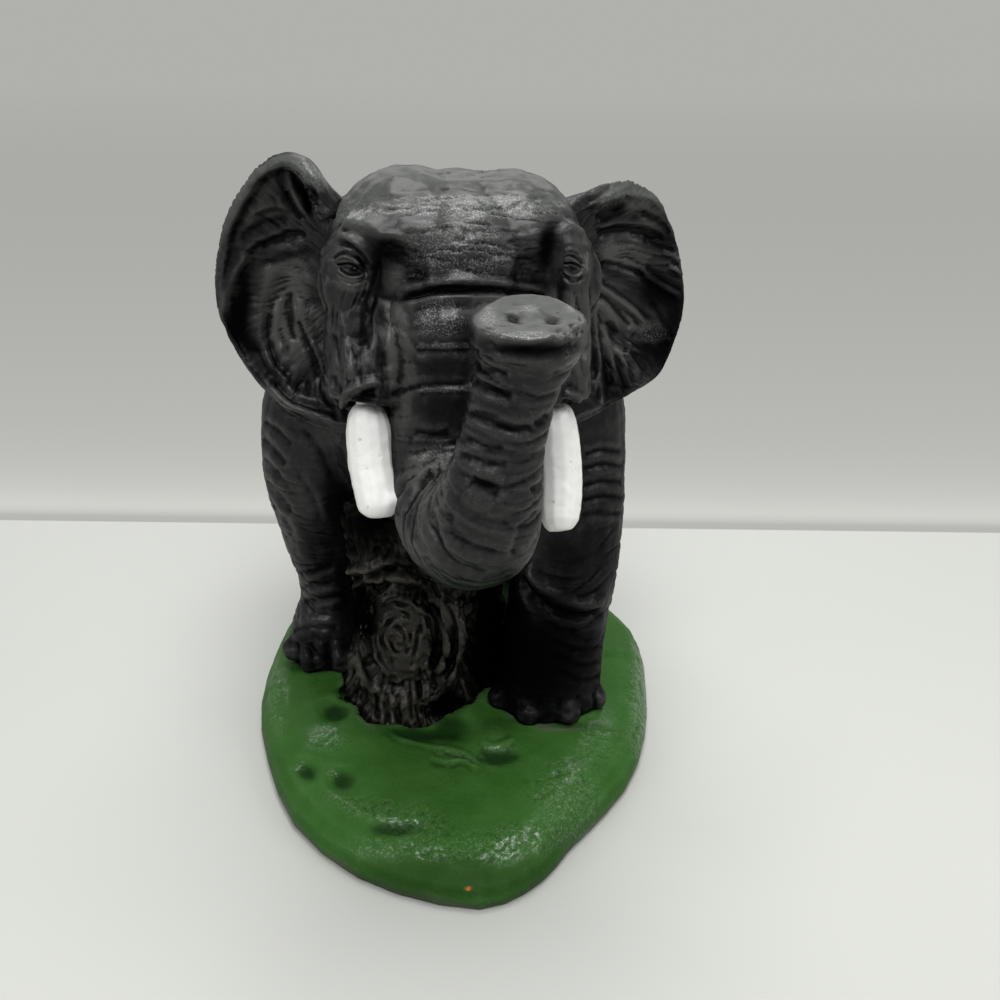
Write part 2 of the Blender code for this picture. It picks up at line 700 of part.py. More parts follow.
def add_head(clay):
    """Skull, brows, cheeks, tusk sheaths and jaw."""
    sizes = (HEAD_WIDTH, HEAD_LENGTH, HEAD_HEIGHT)
    for centre, radii in HEAD_MIDDLE_SHARES:
        add_lump(clay, on_head(centre), at((0, 0, 0), sizes, radii), head_turn())
    for side in (1, -1):
        for centre, radii in HEAD_SIDE_SHARES:
            add_lump(clay, on_head(centre, side), at((0, 0, 0), sizes, radii), head_turn())
        sheath = [(*on_head(share[:3], side), TUSK_RADIUS * share[3]) for share in SHEATH_SHARES]
        add_tube(clay, through(sheath, 8))
    jaw = [(*on_head(share[:3]), NECK_RADIUS * share[3]) for share in JAW_SHARES]
    add_tube(clay, through(jaw, 8))


def cut_figure(figure):
    """Saws the figure into head, torso and legs, each with half the joint's gap."""
    middle, into_body = neck_joint()
    elbow = Vector((0, 0, LEG_JOINT_HEIGHT))
    half = GAP / 2
    head = copy_of(figure, "head")
    saw(head, middle - into_body * half, into_body)
    lower = copy_of(figure, "legs")
    saw(lower, elbow - Vector((0, 0, half)), Vector((0, 0, 1)))
    torso = copy_of(figure, "torso")
    saw(torso, middle + into_body * half, -into_body)
    saw(torso, elbow + Vector((0, 0, half)), Vector((0, 0, -1)))
    drop(figure)
    return head, torso, split_legs(lower)


def split_legs(lower):
    """The four legs, each its own object, named for the corner that it stands at."""
    for obj in bpy.context.selected_objects:
        obj.select_set(False)
    lower.select_set(True)
    bpy.context.view_layer.objects.active = lower
    bpy.ops.mesh.separate(type="LOOSE")
    legs = {}
    for obj in bpy.context.selected_objects:
        middle = sum((vertex.co for vertex in obj.data.vertices), Vector()) / len(obj.data.vertices)
        end = "front" if middle.y < (FORELEG_ALONG + HINDLEG_ALONG) / 2 else "hind"
        side = "left" if middle.x > BODY_ACROSS else "right"
        obj.name = f"leg_{end}_{side}"
        legs[obj.name] = obj
    return legs


def add_leg_pegs(leg):
    """A peg up into the torso and a smaller one down into the base."""
    stations = leg_stations(leg.name, 60)
    elbow = min(stations, key=lambda row: abs(row[2] - LEG_JOINT_HEIGHT))
    top = Vector((elbow[0], elbow[1], LEG_JOINT_HEIGHT))
    combine(leg, peg("peg", top, Vector((0, 0, 1)), LEG_PEG_RADIUS, LEG_PEG_LENGTH), "UNION")
    sole = Vector((stations[0][0], stations[0][1], SOLE_HEIGHT))
    combine(leg, peg("peg", sole, Vector((0, 0, -1)), FOOT_PEG_RADIUS, FOOT_PEG_LENGTH), "UNION")


def finish_head(head):
    """Adds the peg that goes into the neck, and the eyes."""
    middle, into_body = neck_joint()
    combine(head, peg("peg", middle, into_body, NECK_PEG_RADIUS, NECK_PEG_LENGTH), "UNION")
    for side in (1, -1):
        combine(head, make_eye(side), "UNION")


def make_eye(side):
    """The round of an eye, half sunk in the head."""
    bm = bmesh.new()
    radii = [EYE_RADIUS * share for share in EYE_RADIUS_SHARES]
    matrix = Matrix.Translation(on_head(EYE_SHARES, side)) @ head_turn() @ Matrix.Diagonal((*radii, 1.0))
    bmesh.ops.create_uvsphere(bm, u_segments=14, v_segments=9, radius=1.0, matrix=matrix)
    return new_object("eye", bm)


def make_trunk():
    """Ribbed trunk that hangs from the face, turns forward and rises to a flared tip."""
    origin = (HEAD_ACROSS, HEAD_ALONG, HEAD_UP)
    sizes = (TRUNK_SWING, TRUNK_REACH, TRUNK_DROP)
    line = stations_at(origin, sizes, TRUNK_RADIUS, TRUNK_SHARES, TRUNK_RINGS)
    first, last = TRUNK_RIBBED_SHARES
    ribbed = []
    for i, (x, y, z, radius) in enumerate(line):
        share = i / (TRUNK_RINGS - 1)
        if first < share < last:
            radius += TRUNK_RIB_HEIGHT * math.cos(math.tau * TRUNK_RIB_COUNT * share)
        ribbed.append((x, y, z, radius))
    clay = bmesh.new()
    add_tube(clay, ribbed)
    trunk = thin(skin(new_object("trunk", clay), TRUNK_GRAIN, 2), TRUNK_TRIANGLES)
    end = Vector(line[-1][:3])
    rise = (end - Vector(line[-3][:3])).normalized()
    across = rise.cross(Vector((0, -1, 0))).normalized()
    for side in (1, -1):
        spot = end + across * (side * line[-1][3] * NOSTRIL_PLACE_SHARE)
        tool = peg("nostril", spot, rise, NOSTRIL_RADIUS, NOSTRIL_DEPTH / PEG_ROOT_SHARE)
        combine(trunk, tool, "DIFFERENCE")
    return trunk


def make_tusk(name, side):
    """A plain round tusk with a blunt tip, whose root goes up into the head."""
    exit_point = head_frame() @ Vector((side * TUSK_ACROSS, TUSK_ALONG, TUSK_UP))
    length = TUSK_LENGTH * TUSK_LENGTH_SHARES[name]
    sizes = (side * length, length, length)
    lean = TUSK_LEAN_SHARES[name]
    leant = [(across - lean * up, along, up, width) for across, along, up, width in TUSK_SHARES]
    rows = stations_at(exit_point, sizes, TUSK_RADIUS, leant, 11)
    first, second = Vector(rows[0][:3]), Vector(rows[1][:3])
    root = first + (first - second).normalized() * TUSK_ROOT_LENGTH
    rows.insert(0, (*root, rows[0][3]))
    return tube(name, rows, 12)


def ear_point(name, side, out, up, lift):
    """A place on an ear's sheet, out from its root and up from its lowest point."""
    root = on_head(EAR_PLACE_SHARES, side)
    sweep = Vector((side * math.cos(EAR_SWEEP), math.sin(EAR_SWEEP), 0))
    outwards = head_turn().to_3x3() @ sweep
    forwards = Vector((0, 0, 1)).cross(outwards) * -side
    height = (up + EAR_LIFT_SHARES[name] * min(out * 2, 1.0) * up) * EAR_HEIGHT
    reach = out * EAR_REACH * EAR_REACH_SHARES[name] - EAR_ROOT_DEPTH * (1 - out)
    return root + outwards * reach + Vector((0, 0, height)) + forwards * lift


def make_ear(name, side):
    """A cupped, ridged sheet with a rolled edge, thickened to the ear's wall."""
    edge = through(EAR_EDGE_SHARES[name], EAR_SPOKES)
    bm = bmesh.new()
    bmesh.ops.create_grid(bm, x_segments=EAR_SPOKES - 1, y_segments=EAR_ROWS - 1, size=1.0)
    top, bottom = EAR_ROOT_SHARES
    for vertex in bm.verts:
        along = (vertex.co.x + 1) / 2
        out = (vertex.co.y + 1) / 2
        rim = edge[round(along * (EAR_SPOKES - 1))]
        root = [a + (b - a) * along for a, b in zip(top, bottom)]
        place = [a + (b - a) * out for a, b in zip(root, rim)]
        cup = EAR_CURL_SHARE * out**4 - math.sin(math.pi * out)
        ridge = math.cos(math.tau * EAR_RIDGES * along) * math.sin(math.pi * out)
        lift = EAR_CUP_DEPTH * cup + EAR_RIDGE_HEIGHT * ridge
        vertex.co = ear_point(name, side, place[0], place[1], lift)
    ear = new_object(name, bm)
    wall = ear.modifiers.new("wall", "SOLIDIFY")
    wall.thickness = EAR_THICKNESS
    wall.offset = 0.0
    wall.use_even_offset = True
    return thin(skin(ear, EAR_GRAIN, 1), EAR_TRIANGLES)


def make_tail():
    """Thin tail with a tuft, whose root goes forward into the rump."""
    sizes = (BODY_WIDTH, BODY_LENGTH, BODY_DEPTH)
    start = at(body_origin(), sizes, TAIL_PLACE_SHARES)
    lengths = (TAIL_LENGTH, TAIL_LENGTH, TAIL_LENGTH)
    rows = stations_at(start, lengths, TAIL_RADIUS, TAIL_SHARES, 16)
    rows.insert(0, (start.x, start.y - TAIL_ROOT_DEPTH, start.z, rows[0][3]))
    return tube("tail", rows, 8)


def material(name):
    colour, roughness = COLOURS[name]
    made = bpy.data.materials.new(name)
    made.use_nodes = True
    shader = made.node_tree.nodes["Principled BSDF"]
    shader.inputs["Base Color"].default_value = colour
    shader.inputs["Roughness"].default_value = roughness
    made.diffuse_color = colour
    return made


def finish(obj, paint):
    """Gives the piece its paint and smooth shading, with sharp edges where it was sawn."""
    obj.data.materials.clear()
    obj.data.materials.append(paint)
    obj.data.shade_smooth()
    obj.data.set_sharp_from_angle(angle=SHARP_ANGLE)


def main():
    clear_scene()
    collection(COLLECTION_NAME)
    collection(CUTTER_COLLECTION_NAME).hide_render = True
    head, torso, legs = cut_figure(make_figure())
    finish_head(head)
    trunk = make_trunk()
    tusks = [make_tusk("tusk_left", 1), make_tusk("tusk_right", -1)]
    ears = [make_ear("ear_left", 1), make_ear("ear_right", -1)]
    tail = make_tail()
    base = make_base()
    stump = make_stump()
    for leg in legs.values():
        add_leg_pegs(leg)
        seat(torso, leg)
        seat(base, leg)
    seat(torso, head)
    seat(torso, tail)
    seat(stump, torso)
    for leg in legs.values():
        seat(stump, leg)
    seat(base, stump)
    for tusk in tusks:
        seat(trunk, tusk)
        seat(head, tusk)
    seat(head, trunk)
    for ear in ears:
        seat(head, ear)
        seat(torso, ear)
    paints = {name: material(name) for name in COLOURS}
    for obj in [torso, head, trunk, tail, *ears, *legs.values()]:
        finish(obj, paints["hide"])
    for obj in tusks:
        finish(obj, paints["ivory"])
    finish(base, paints["grass"])
    finish(stump, paints["bark"])


main()
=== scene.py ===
import math

import bpy
import numpy as np
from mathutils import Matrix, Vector


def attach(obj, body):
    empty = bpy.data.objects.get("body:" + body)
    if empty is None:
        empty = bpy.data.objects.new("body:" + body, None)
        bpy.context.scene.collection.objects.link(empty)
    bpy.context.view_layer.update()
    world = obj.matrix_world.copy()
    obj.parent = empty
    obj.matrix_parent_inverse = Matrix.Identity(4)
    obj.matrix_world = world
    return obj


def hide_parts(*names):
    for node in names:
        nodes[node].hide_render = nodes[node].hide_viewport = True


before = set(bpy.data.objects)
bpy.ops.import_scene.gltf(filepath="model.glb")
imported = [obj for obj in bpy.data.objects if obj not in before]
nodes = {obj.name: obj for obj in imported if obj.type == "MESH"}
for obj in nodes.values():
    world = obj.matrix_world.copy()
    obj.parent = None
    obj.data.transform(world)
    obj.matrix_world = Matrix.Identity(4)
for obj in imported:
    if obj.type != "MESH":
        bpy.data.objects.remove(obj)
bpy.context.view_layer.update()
print("frame loaded:", len(nodes), "nodes")

# The photograph's viewing angle. The same numbers turn a place into a pixel of the photograph,
# so that folds, dents and paint can be given where they are seen.
camera = {"place": (0.0, -0.303, 0.2187), "pitch": 26.0, "yaw": 2.4, "lens": 43.2, "pixels": 1200.0}


def cameraAxes():
    pitch, yaw = math.radians(camera["pitch"]), math.radians(camera["yaw"])
    ahead = Vector((math.sin(yaw) * math.cos(pitch), math.cos(yaw) * math.cos(pitch), -math.sin(pitch)))
    right = Vector((math.cos(yaw), -math.sin(yaw), 0.0))
    return right, right.cross(ahead), ahead


def makeCamera():
    data = bpy.data.cameras.new("photoCamera")
    data.lens = camera["lens"]
    data.sensor_width = 36.0
    data.clip_start, data.clip_end = 0.01, 20.0
    made = bpy.data.objects.new("photoCamera", data)
    bpy.context.scene.collection.objects.link(made)
    made.location = camera["place"]
    made.rotation_mode = "QUATERNION"
    made.rotation_quaternion = cameraAxes()[2].to_track_quat("-Z", "Y")
    bpy.context.scene.camera = made


makeCamera()


# A mesh's points, normals and edges as arrays, so that detail can be sculpted in bulk
def readPoints(obj):
    mesh = obj.data
    points = np.empty(len(mesh.vertices) * 3)
    mesh.vertices.foreach_get("co", points)
    return points.reshape(-1, 3)


def readNormals(obj):
    obj.data.update()
    normals = np.empty(len(obj.data.vertices) * 3, np.float32)
    obj.data.vertex_normals.foreach_get("vector", normals)
    return normals.reshape(-1, 3).astype(float)


def writePoints(obj, points):
    obj.data.vertices.foreach_set("co", points.astype(np.float32).ravel())
    obj.data.update()


def readEdges(obj):
    edges = np.empty(len(obj.data.edges) * 2, np.int32)
    obj.data.edges.foreach_get("vertices", edges)
    return edges.reshape(-1, 2)


def relax(values, edges, shares):
    # for each share in turn, every value moves that far to the mean of its neighbours
    count = len(values)
    valence = np.maximum(np.bincount(edges.ravel(), minlength=count), 1)
    flat = values.reshape(count, -1).copy()
    for share in shares:
        for k in range(flat.shape[1]):
            column = flat[:, k]
            total = np.bincount(edges[:, 0], column[edges[:, 1]], count)
            total += np.bincount(edges[:, 1], column[edges[:, 0]], count)
            flat[:, k] = (1 - share) * column + share * total / valence
    return flat.reshape(values.shape)


def smooth(low, high, values):
    t = np.clip((values - low) / (high - low), 0.0, 1.0)
    return t * t * (3.0 - 2.0 * t)


def noise(points, seed):
    # gradient noise between about -1 and 1, one value for each row of points
    table = np.random.default_rng(seed).normal(size=(1024, 3))
    table /= np.linalg.norm(table, axis=1)[:, None]
    cell = np.floor(points).astype(np.int64)
    local = points - cell
    ease = local**3 * (local * (local * 6 - 15) + 10)
    total = np.zeros(len(points))
    for corner in range(8):
        step = np.array([corner & 1, corner >> 1 & 1, corner >> 2 & 1])
        at = cell + step
        key = (at[:, 0] * 73856093 ^ at[:, 1] * 19349663 ^ at[:, 2] * 83492791) & 1023
        weight = np.prod(np.where(step == 1, ease, 1 - ease), axis=1)
        total += weight * np.einsum("ij,ij->i", table[key], local - step)
    return total * 1.6


def wobble(points, scale, amount, seed):
    # the points, each moved a little by slow noise, so that nothing laid over them runs straight
    return points + amount * np.stack([noise(points * scale, seed + k) for k in range(3)], axis=1)


def lines(field, width):
    # thin creases where a noise field passes through nought
    return np.exp(-((field / width) ** 2))


def onPhoto(points):
    # pixel across and down, and how far in front of the camera each point is
    right, up, ahead = (np.array(axis) for axis in cameraAxes())
    offset = points - np.array(camera["place"])
    depth = offset @ ahead
    across = 500 + camera["pixels"] * (offset @ right) / depth
    down = 500 - camera["pixels"] * (offset @ up) / depth
    return np.stack([across, down], axis=1), depth


def facing(points, normals):
    toCamera = np.array(camera["place"]) - points
    toCamera /= np.linalg.norm(toCamera, axis=1)[:, None]
    return np.einsum("ij,ij->i", toCamera, normals)


def awayFrom(points, route):
    # least distance from each point to a route, and how far along the route that is, from 0 to 1
    best = np.full(len(points), 1e9)
    along = np.zeros(len(points))
    route = np.array(route, float)
    steps = np.linalg.norm(np.diff(route, axis=0), axis=1)
    reached = np.concatenate([[0.0], np.cumsum(steps)]) / steps.sum()
    for i in range(len(steps)):
        line = route[i + 1] - route[i]
        t = np.clip((points - route[i]) @ line / (line @ line), 0, 1)
        gap = np.linalg.norm(points - (route[i] + t[:, None] * line), axis=1)
        closer = gap < best
        best[closer] = gap[closer]
        along[closer] = (reached[i] + t * (reached[i + 1] - reached[i]))[closer]
    return best, along


def rounded(route, count=24):
    # a smooth route through a few places
    route = np.array(route, float)
    if len(route) < 3:
        return route
    padded = np.vstack([2 * route[0] - route[1], route, 2 * route[-1] - route[-2]])
    made = []
    for place in np.linspace(0, len(route) - 1, count):
        i = min(int(place), len(route) - 2)
        t = place - i
        a, b, c, d = padded[i : i + 4]
        made.append(0.5 * (2 * b + (c - a) * t + (2 * a - 5 * b + 4 * c - d) * t**2 + (3 * b - a - 3 * c + d) * t**3))
    return np.array(made)


def turned(pixels, x, y, wide, high, turn):
    # places measured from the middle of a turned ellipse, in its radii
    offset = pixels - np.array((x, y), float)
    c, s = math.cos(math.radians(turn)), math.sin(math.radians(turn))
    across = (offset[:, 0] * c + offset[:, 1] * s) / wide
    down = (offset[:, 1] * c - offset[:, 0] * s) / high
    return across, down


def carve(view, strokes):
    # grooves and ridges drawn on the photograph: width and height in millimetres, then x and y of each pixel of the
    # route; a height below nought is a groove
    pixels, depth, front = view
    moved = np.zeros(len(pixels))
    scale = depth / camera["pixels"] * 1000
    for width, height, *route in strokes:
        route = rounded(np.reshape(route, (-1, 2)))
        margin = width * 14 + 6
        low, high = route.min(0) - margin, route.max(0) + margin
        near = np.nonzero(np.all((pixels > low) & (pixels < high), axis=1) & (front > 0.02))[0]
        if not len(near):
            continue
        gap, along = awayFrom(pixels[near], route)
        gap = gap * scale[near] / width
        fade = smooth(0.0, 0.12, along) * smooth(1.0, 0.88, along) * smooth(0.02, 0.25, front[near])
        shape = np.exp(-(gap**2)) - 0.30 * np.exp(-((gap - 2.0) ** 2))
        moved[near] += height / 1000 * fade * shape
    return moved


def dab(view, dabs):
    # soft lumps and hollows drawn on the photograph: x, y and radii in pixels, turn in degrees, height in millimetres
    pixels, _, front = view
    moved = np.zeros(len(pixels))
    for *patch, height in dabs:
        across, down = turned(pixels, *patch)
        moved += height / 1000 * np.exp(-(across**2 + down**2)) * smooth(0.0, 0.3, front)
    return moved


def blot(view, points, blots):
    # patches of paint drawn on the photograph: x, y and radii in pixels, turn in degrees, strength
    pixels, _, front = view
    drift = np.stack([noise(points * 170, 5), noise(points * 170, 6)], axis=1)
    clear = np.ones(len(pixels))
    for x, y, wide, high, turn, strength in blots:
        across, down = turned(pixels + min(5, 0.4 * min(wide, high)) * drift, x, y, wide, high, turn)
        clear *= 1 - strength * np.exp(-((across**2 + down**2) ** 2)) * smooth(-0.25, 0.0, front)
    return 1 - clear


def pushed(points, pushes):
    # whole places moved, front and back alike: x, y and radii in pixels, turn, shift across and up in millimetres
    pixels, _ = onPhoto(points)
    moved = points.copy()
    for *patch, right, up in pushes:
        across, down = turned(pixels, *patch)
        moved += np.exp(-(across**2 + down**2))[:, None] * np.array((right, 0.0, up)) / 1000
    return moved


def brushedOver(cover, streaks, amount):
    # a thin coat of paint whose edges break up into brush marks
    return cover * smooth(0.15, 0.65, cover + amount * streaks)


def viewOf(points, normals):
    # pixel, distance and how squarely the camera sees each point
    pixels, depth = onPhoto(points)
    return pixels, depth, facing(points, normals)


def survey(obj):
    points, normals = readPoints(obj), readNormals(obj)
    return points, normals, viewOf(points, normals)


def swell(obj, points, normals, moved):
    # the skin moved along its normals
    writePoints(obj, points + normals * moved[:, None])


def only(*objs):
    # selects these alone
    for obj in bpy.context.selected_objects:
        obj.select_set(False)
    for obj in objs:
        obj.select_set(True)
    bpy.context.view_layer.objects.active = objs[0]


def copied(name, *nodeNames):
    # one object of merged copies of these nodes
    twins = []
    for nodeName in nodeNames:
        twin = bpy.data.objects.new(name, nodes[nodeName].data.copy())
        bpy.context.scene.collection.objects.link(twin)
        twins.append(twin)
    only(*twins)
    if len(twins) > 1:
        bpy.ops.object.join()
    made = bpy.context.view_layer.objects.active
    made.name = name
    made.data.materials.clear()
    bpy.ops.object.mode_set(mode="EDIT")
    bpy.ops.mesh.select_all(action="SELECT")
    bpy.ops.mesh.remove_doubles(threshold=1e-6)
    bpy.ops.mesh.customdata_custom_splitnormals_clear()
    bpy.ops.object.mode_set(mode="OBJECT")
    return made


def roundTube(name, stations):
    # a round rod through stations of place and radius in millimetres
    line = bpy.data.curves.new(name, "CURVE")
    line.dimensions = "3D"
    line.bevel_depth = 0.001
    line.bevel_resolution = 14
    line.use_fill_caps = True
    spline = line.splines.new("POLY")
    path = rounded(stations, 90)
    spline.points.add(len(path) - 1)
    for point, (x, y, z, radius) in zip(spline.points, path):
        point.co = (x / 1000, y / 1000, z / 1000, 1.0)
        point.radius = radius
    made = bpy.data.objects.new(name, line)
    bpy.context.scene.collection.objects.link(made)
    only(made)
    bpy.ops.object.convert(target="MESH")
    return bpy.context.view_layer.objects.active


def applied(obj, kind, **settings):
    modifier = obj.modifiers.new(kind.lower(), kind)
    for key, value in settings.items():
        setattr(modifier, key, value)
    only(obj)
    bpy.ops.object.modifier_apply(modifier=modifier.name)
    return obj


def reskin(obj, grain, evening):
    # one even skin over everything in the object, with the solid's flat facets rounded away
    applied(obj, "REMESH", mode="VOXEL", voxel_size=grain)
    writePoints(obj, relax(readPoints(obj), readEdges(obj), (0.5, -0.53) * evening))
    return obj


def sawn(obj, name, point, outwards):
    # what is left of a copy after the side of the plane that outwards points to is cut away, with the cut closed
    twin = obj.copy()
    twin.data = obj.data.copy()
    twin.name = name
    bpy.context.scene.collection.objects.link(twin)
    only(twin)
    bpy.ops.object.mode_set(mode="EDIT")
    bpy.ops.mesh.select_all(action="SELECT")
    bpy.ops.mesh.bisect(plane_co=point, plane_no=outwards, use_fill=True, clear_outer=True, threshold=1e-7)
    bpy.ops.object.mode_set(mode="OBJECT")
    return twin


def keepBiggest(obj):
    # drops crumbs that a cut or a remesh can leave
    only(obj)
    bpy.ops.object.mode_set(mode="EDIT")
    bpy.ops.mesh.select_all(action="SELECT")
    bpy.ops.mesh.separate(type="LOOSE")
    bpy.ops.object.mode_set(mode="OBJECT")
    parts = sorted(bpy.context.selected_objects, key=lambda part: len(part.data.vertices))
    for part in parts[:-1]:
        bpy.data.objects.remove(part)
    return parts[-1]


def lightened(obj, most):
    # fewer triangles, most of them kept where the surface bends
    count = sum(len(face.vertices) - 2 for face in obj.data.polygons)
    return applied(obj, "DECIMATE", ratio=most / count) if count > most else obj


def setMask(obj, name, values):
    layer = obj.data.attributes.get(name) or obj.data.attributes.new(name, "FLOAT", "POINT")
    layer.data.foreach_set("value", np.clip(values, 0, 1).astype(np.float32))


def paintMasks(obj, fine=3, broad=24, depth=(0.00006, 0.00030)):
    # recess: how far the surface lies below its surroundings; rub: how far it stands above them
    points, normals, edges = readPoints(obj), readNormals(obj), readEdges(obj)
    near = np.einsum("ij,ij->i", relax(points, edges, (0.5,) * fine) - points, normals)
    wide = np.einsum("ij,ij->i", relax(points, edges, (0.5,) * broad) - points, normals)
    level = near / depth[0] + wide / depth[1]
    setMask(obj, "recess", smooth(0.1, 2.0, level))
    setMask(obj, "rub", smooth(0.1, 2.0, -level))


def finished(obj, nodeNames, slot):
    obj.data.materials.clear()
    obj.data.materials.append(materials[slot])
    obj.data.shade_smooth()
    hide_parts(*nodeNames)
    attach(obj, "root")
    print(obj.name + ":", sum(len(face.vertices) - 2 for face in obj.data.polygons), "triangles")


def newNode(tree, kind, **settings):
    node = tree.nodes.new(kind)
    for key, value in settings.items():
        if key.startswith("in_"):
            node.inputs[key[3:].replace("_", " ")].default_value = value
        else:
            setattr(node, key, value)
    return node


def rampOf(tree, factor, stops):
    ramp = newNode(tree, "ShaderNodeValToRGB")
    while len(ramp.color_ramp.elements) < len(stops):
        ramp.color_ramp.elements.new(0.5)
    for element, (position, value) in zip(ramp.color_ramp.elements, stops):
        element.position = position
        element.color = (*value, 1.0) if isinstance(value, tuple) else (value, value, value, 1.0)
    tree.links.new(factor, ramp.inputs["Fac"])
    return ramp.outputs["Color"]


def joinTo(tree, socket, value):
    if isinstance(value, bpy.types.NodeSocket):
        tree.links.new(value, socket)
    elif isinstance(value, (int, float)):
        socket.default_value = value
    else:
        socket.default_value = (*value, 1.0)


def mixOf(tree, factor, first, second):
    mix = newNode(tree, "ShaderNodeMix", data_type="RGBA")
    for name, value in (("Factor", factor), ("A", first), ("B", second)):
        joinTo(tree, mix.inputs[name], value)
    return mix.outputs["Result"]


def maths(tree, operation, first, second, clamp=False):
    step = newNode(tree, "ShaderNodeMath", operation=operation, use_clamp=clamp)
    joinTo(tree, step.inputs[0], first)
    joinTo(tree, step.inputs[1], second)
    return step.outputs["Value"]


def times(tree, first, second, clamp=False):
    return maths(tree, "MULTIPLY", first, second, clamp)


def brushGroup():
    # thick paint over a rough cast: a height for the bump, and masks for fine specks and for broad patches
    group = bpy.data.node_groups.new("brushedPaint", "ShaderNodeTree")
    face = group.interface
    face.new_socket("Vector", in_out="INPUT", socket_type="NodeSocketVector")
    grain = face.new_socket("Grain", in_out="INPUT", socket_type="NodeSocketFloat")
    grain.default_value = 2200.0
    for name in ("Height", "Speckle", "Patches"):
        face.new_socket(name, in_out="OUTPUT", socket_type="NodeSocketFloat")
    start = group.nodes.new("NodeGroupInput")
    end = group.nodes.new("NodeGroupOutput")
    fine = newNode(group, "ShaderNodeTexNoise", in_Detail=3.0, in_Roughness=0.6)
    middle = newNode(group, "ShaderNodeTexNoise", in_Detail=3.0)
    broad = newNode(group, "ShaderNodeTexNoise", in_Scale=90.0, in_Detail=4.0)
    for node in (fine, middle, broad):
        group.links.new(start.outputs["Vector"], node.inputs["Vector"])
    group.links.new(start.outputs["Grain"], fine.inputs["Scale"])
    group.links.new(times(group, start.outputs["Grain"], 0.32), middle.inputs["Scale"])
    both = maths(group, "ADD", fine.outputs["Fac"], times(group, middle.outputs["Fac"], 1.4))
    group.links.new(both, end.inputs["Height"])
    group.links.new(rampOf(group, fine.outputs["Fac"], [(0.50, 0.0), (0.62, 1.0)]), end.inputs["Speckle"])
    group.links.new(rampOf(group, broad.outputs["Fac"], [(0.36, 0.0), (0.66, 1.0)]), end.inputs["Patches"])
    return group


brushedPaint = brushGroup()


def paintedMaterial(name, look):
    # base paint, dry brushing on what stands out, dark paint and painted shade in what lies back, painted shade, pale
    # and worn spots (some of them painted sheen), and varnished zones with painted glints
    made = bpy.data.materials.new(name)
    made.use_nodes = True
    tree = made.node_tree
    shader = tree.nodes["Principled BSDF"]
    coord = newNode(tree, "ShaderNodeTexCoord")
    brush = newNode(tree, "ShaderNodeGroup", node_tree=brushedPaint)
    brush.inputs["Grain"].default_value = look["grain"]
    tree.links.new(coord.outputs["Object"], brush.inputs["Vector"])
    masks = {}
    for mask in ("recess", "rub", "shade", "pale", "shine"):
        masks[mask] = newNode(tree, "ShaderNodeAttribute", attribute_name=mask).outputs["Fac"]
    speckle = brush.outputs["Speckle"]
    colour = mixOf(tree, brush.outputs["Patches"], look["base"], look["second"])
    colour = mixOf(tree, masks["pale"], colour, look["pale"])
    brushed = maths(tree, "ADD", times(tree, speckle, 0.6), 0.5)
    dry = times(tree, masks["rub"], brushed, True)
    colour = mixOf(tree, times(tree, dry, look["dryShare"]), colour, look["dry"])
    # darker in recesses: dark paint run into them, and painted shade where the hollows lie in shadow
    colour = mixOf(tree, times(tree, masks["recess"], look["recessPaintAndShadeShare"]), colour, look["darkPaintAndShade"])
    # the shade mask: dark paint, and painted shade in hollows, under lips and between parts
    colour = mixOf(tree, masks["shade"], colour, look["darkPaintAndShade"])
    # painted glints: light specks in the shining zones
    paintedGlints = times(tree, times(tree, masks["shine"], speckle), look["paintedGlintShare"])
    colour = mixOf(tree, paintedGlints, colour, look["paintedGlint"])
    if "chip" in look:
        chip = newNode(tree, "ShaderNodeAttribute", attribute_name="chip").outputs["Fac"]
        colour = mixOf(tree, chip, colour, look["chip"])
    tree.links.new(colour, shader.inputs["Base Color"])
    low, high = look["roughness"], look["roughness"] + look["roughnessSpread"]
    gloss = mixOf(tree, brush.outputs["Patches"], (low,) * 3, (high,) * 3)
    gloss = mixOf(tree, times(tree, masks["recess"], 0.5), gloss, (0.75,) * 3)
    gloss = mixOf(tree, times(tree, masks["shine"], 0.8), gloss, (look["shineRoughness"],) * 3)
    tree.links.new(gloss, shader.inputs["Roughness"])
    shader.inputs["Specular IOR Level"].default_value = look["specular"]
    varnish = times(tree, masks["shine"], maths(tree, "ADD", times(tree, speckle, 0.7), 0.3))
    varnish = maths(tree, "ADD", varnish, look["varnish"], True)
    varnish = times(tree, varnish, maths(tree, "SUBTRACT", 1.0, times(tree, masks["recess"], 0.6)))
    covered = times(tree, masks["shade"], maths(tree, "SUBTRACT", 1.0, masks["shine"]))
    varnish = times(tree, varnish, maths(tree, "SUBTRACT", 1.0, covered, True))
    tree.links.new(varnish, shader.inputs["Coat Weight"])
    shader.inputs["Coat Roughness"].default_value = look["varnishRoughness"]
    bump = newNode(tree, "ShaderNodeBump", in_Strength=look["bump"], in_Distance=look["bumpHeight"])
    tree.links.new(brush.outputs["Height"], bump.inputs["Height"])
    tree.links.new(bump.outputs["Normal"], shader.inputs["Normal"])
    return made
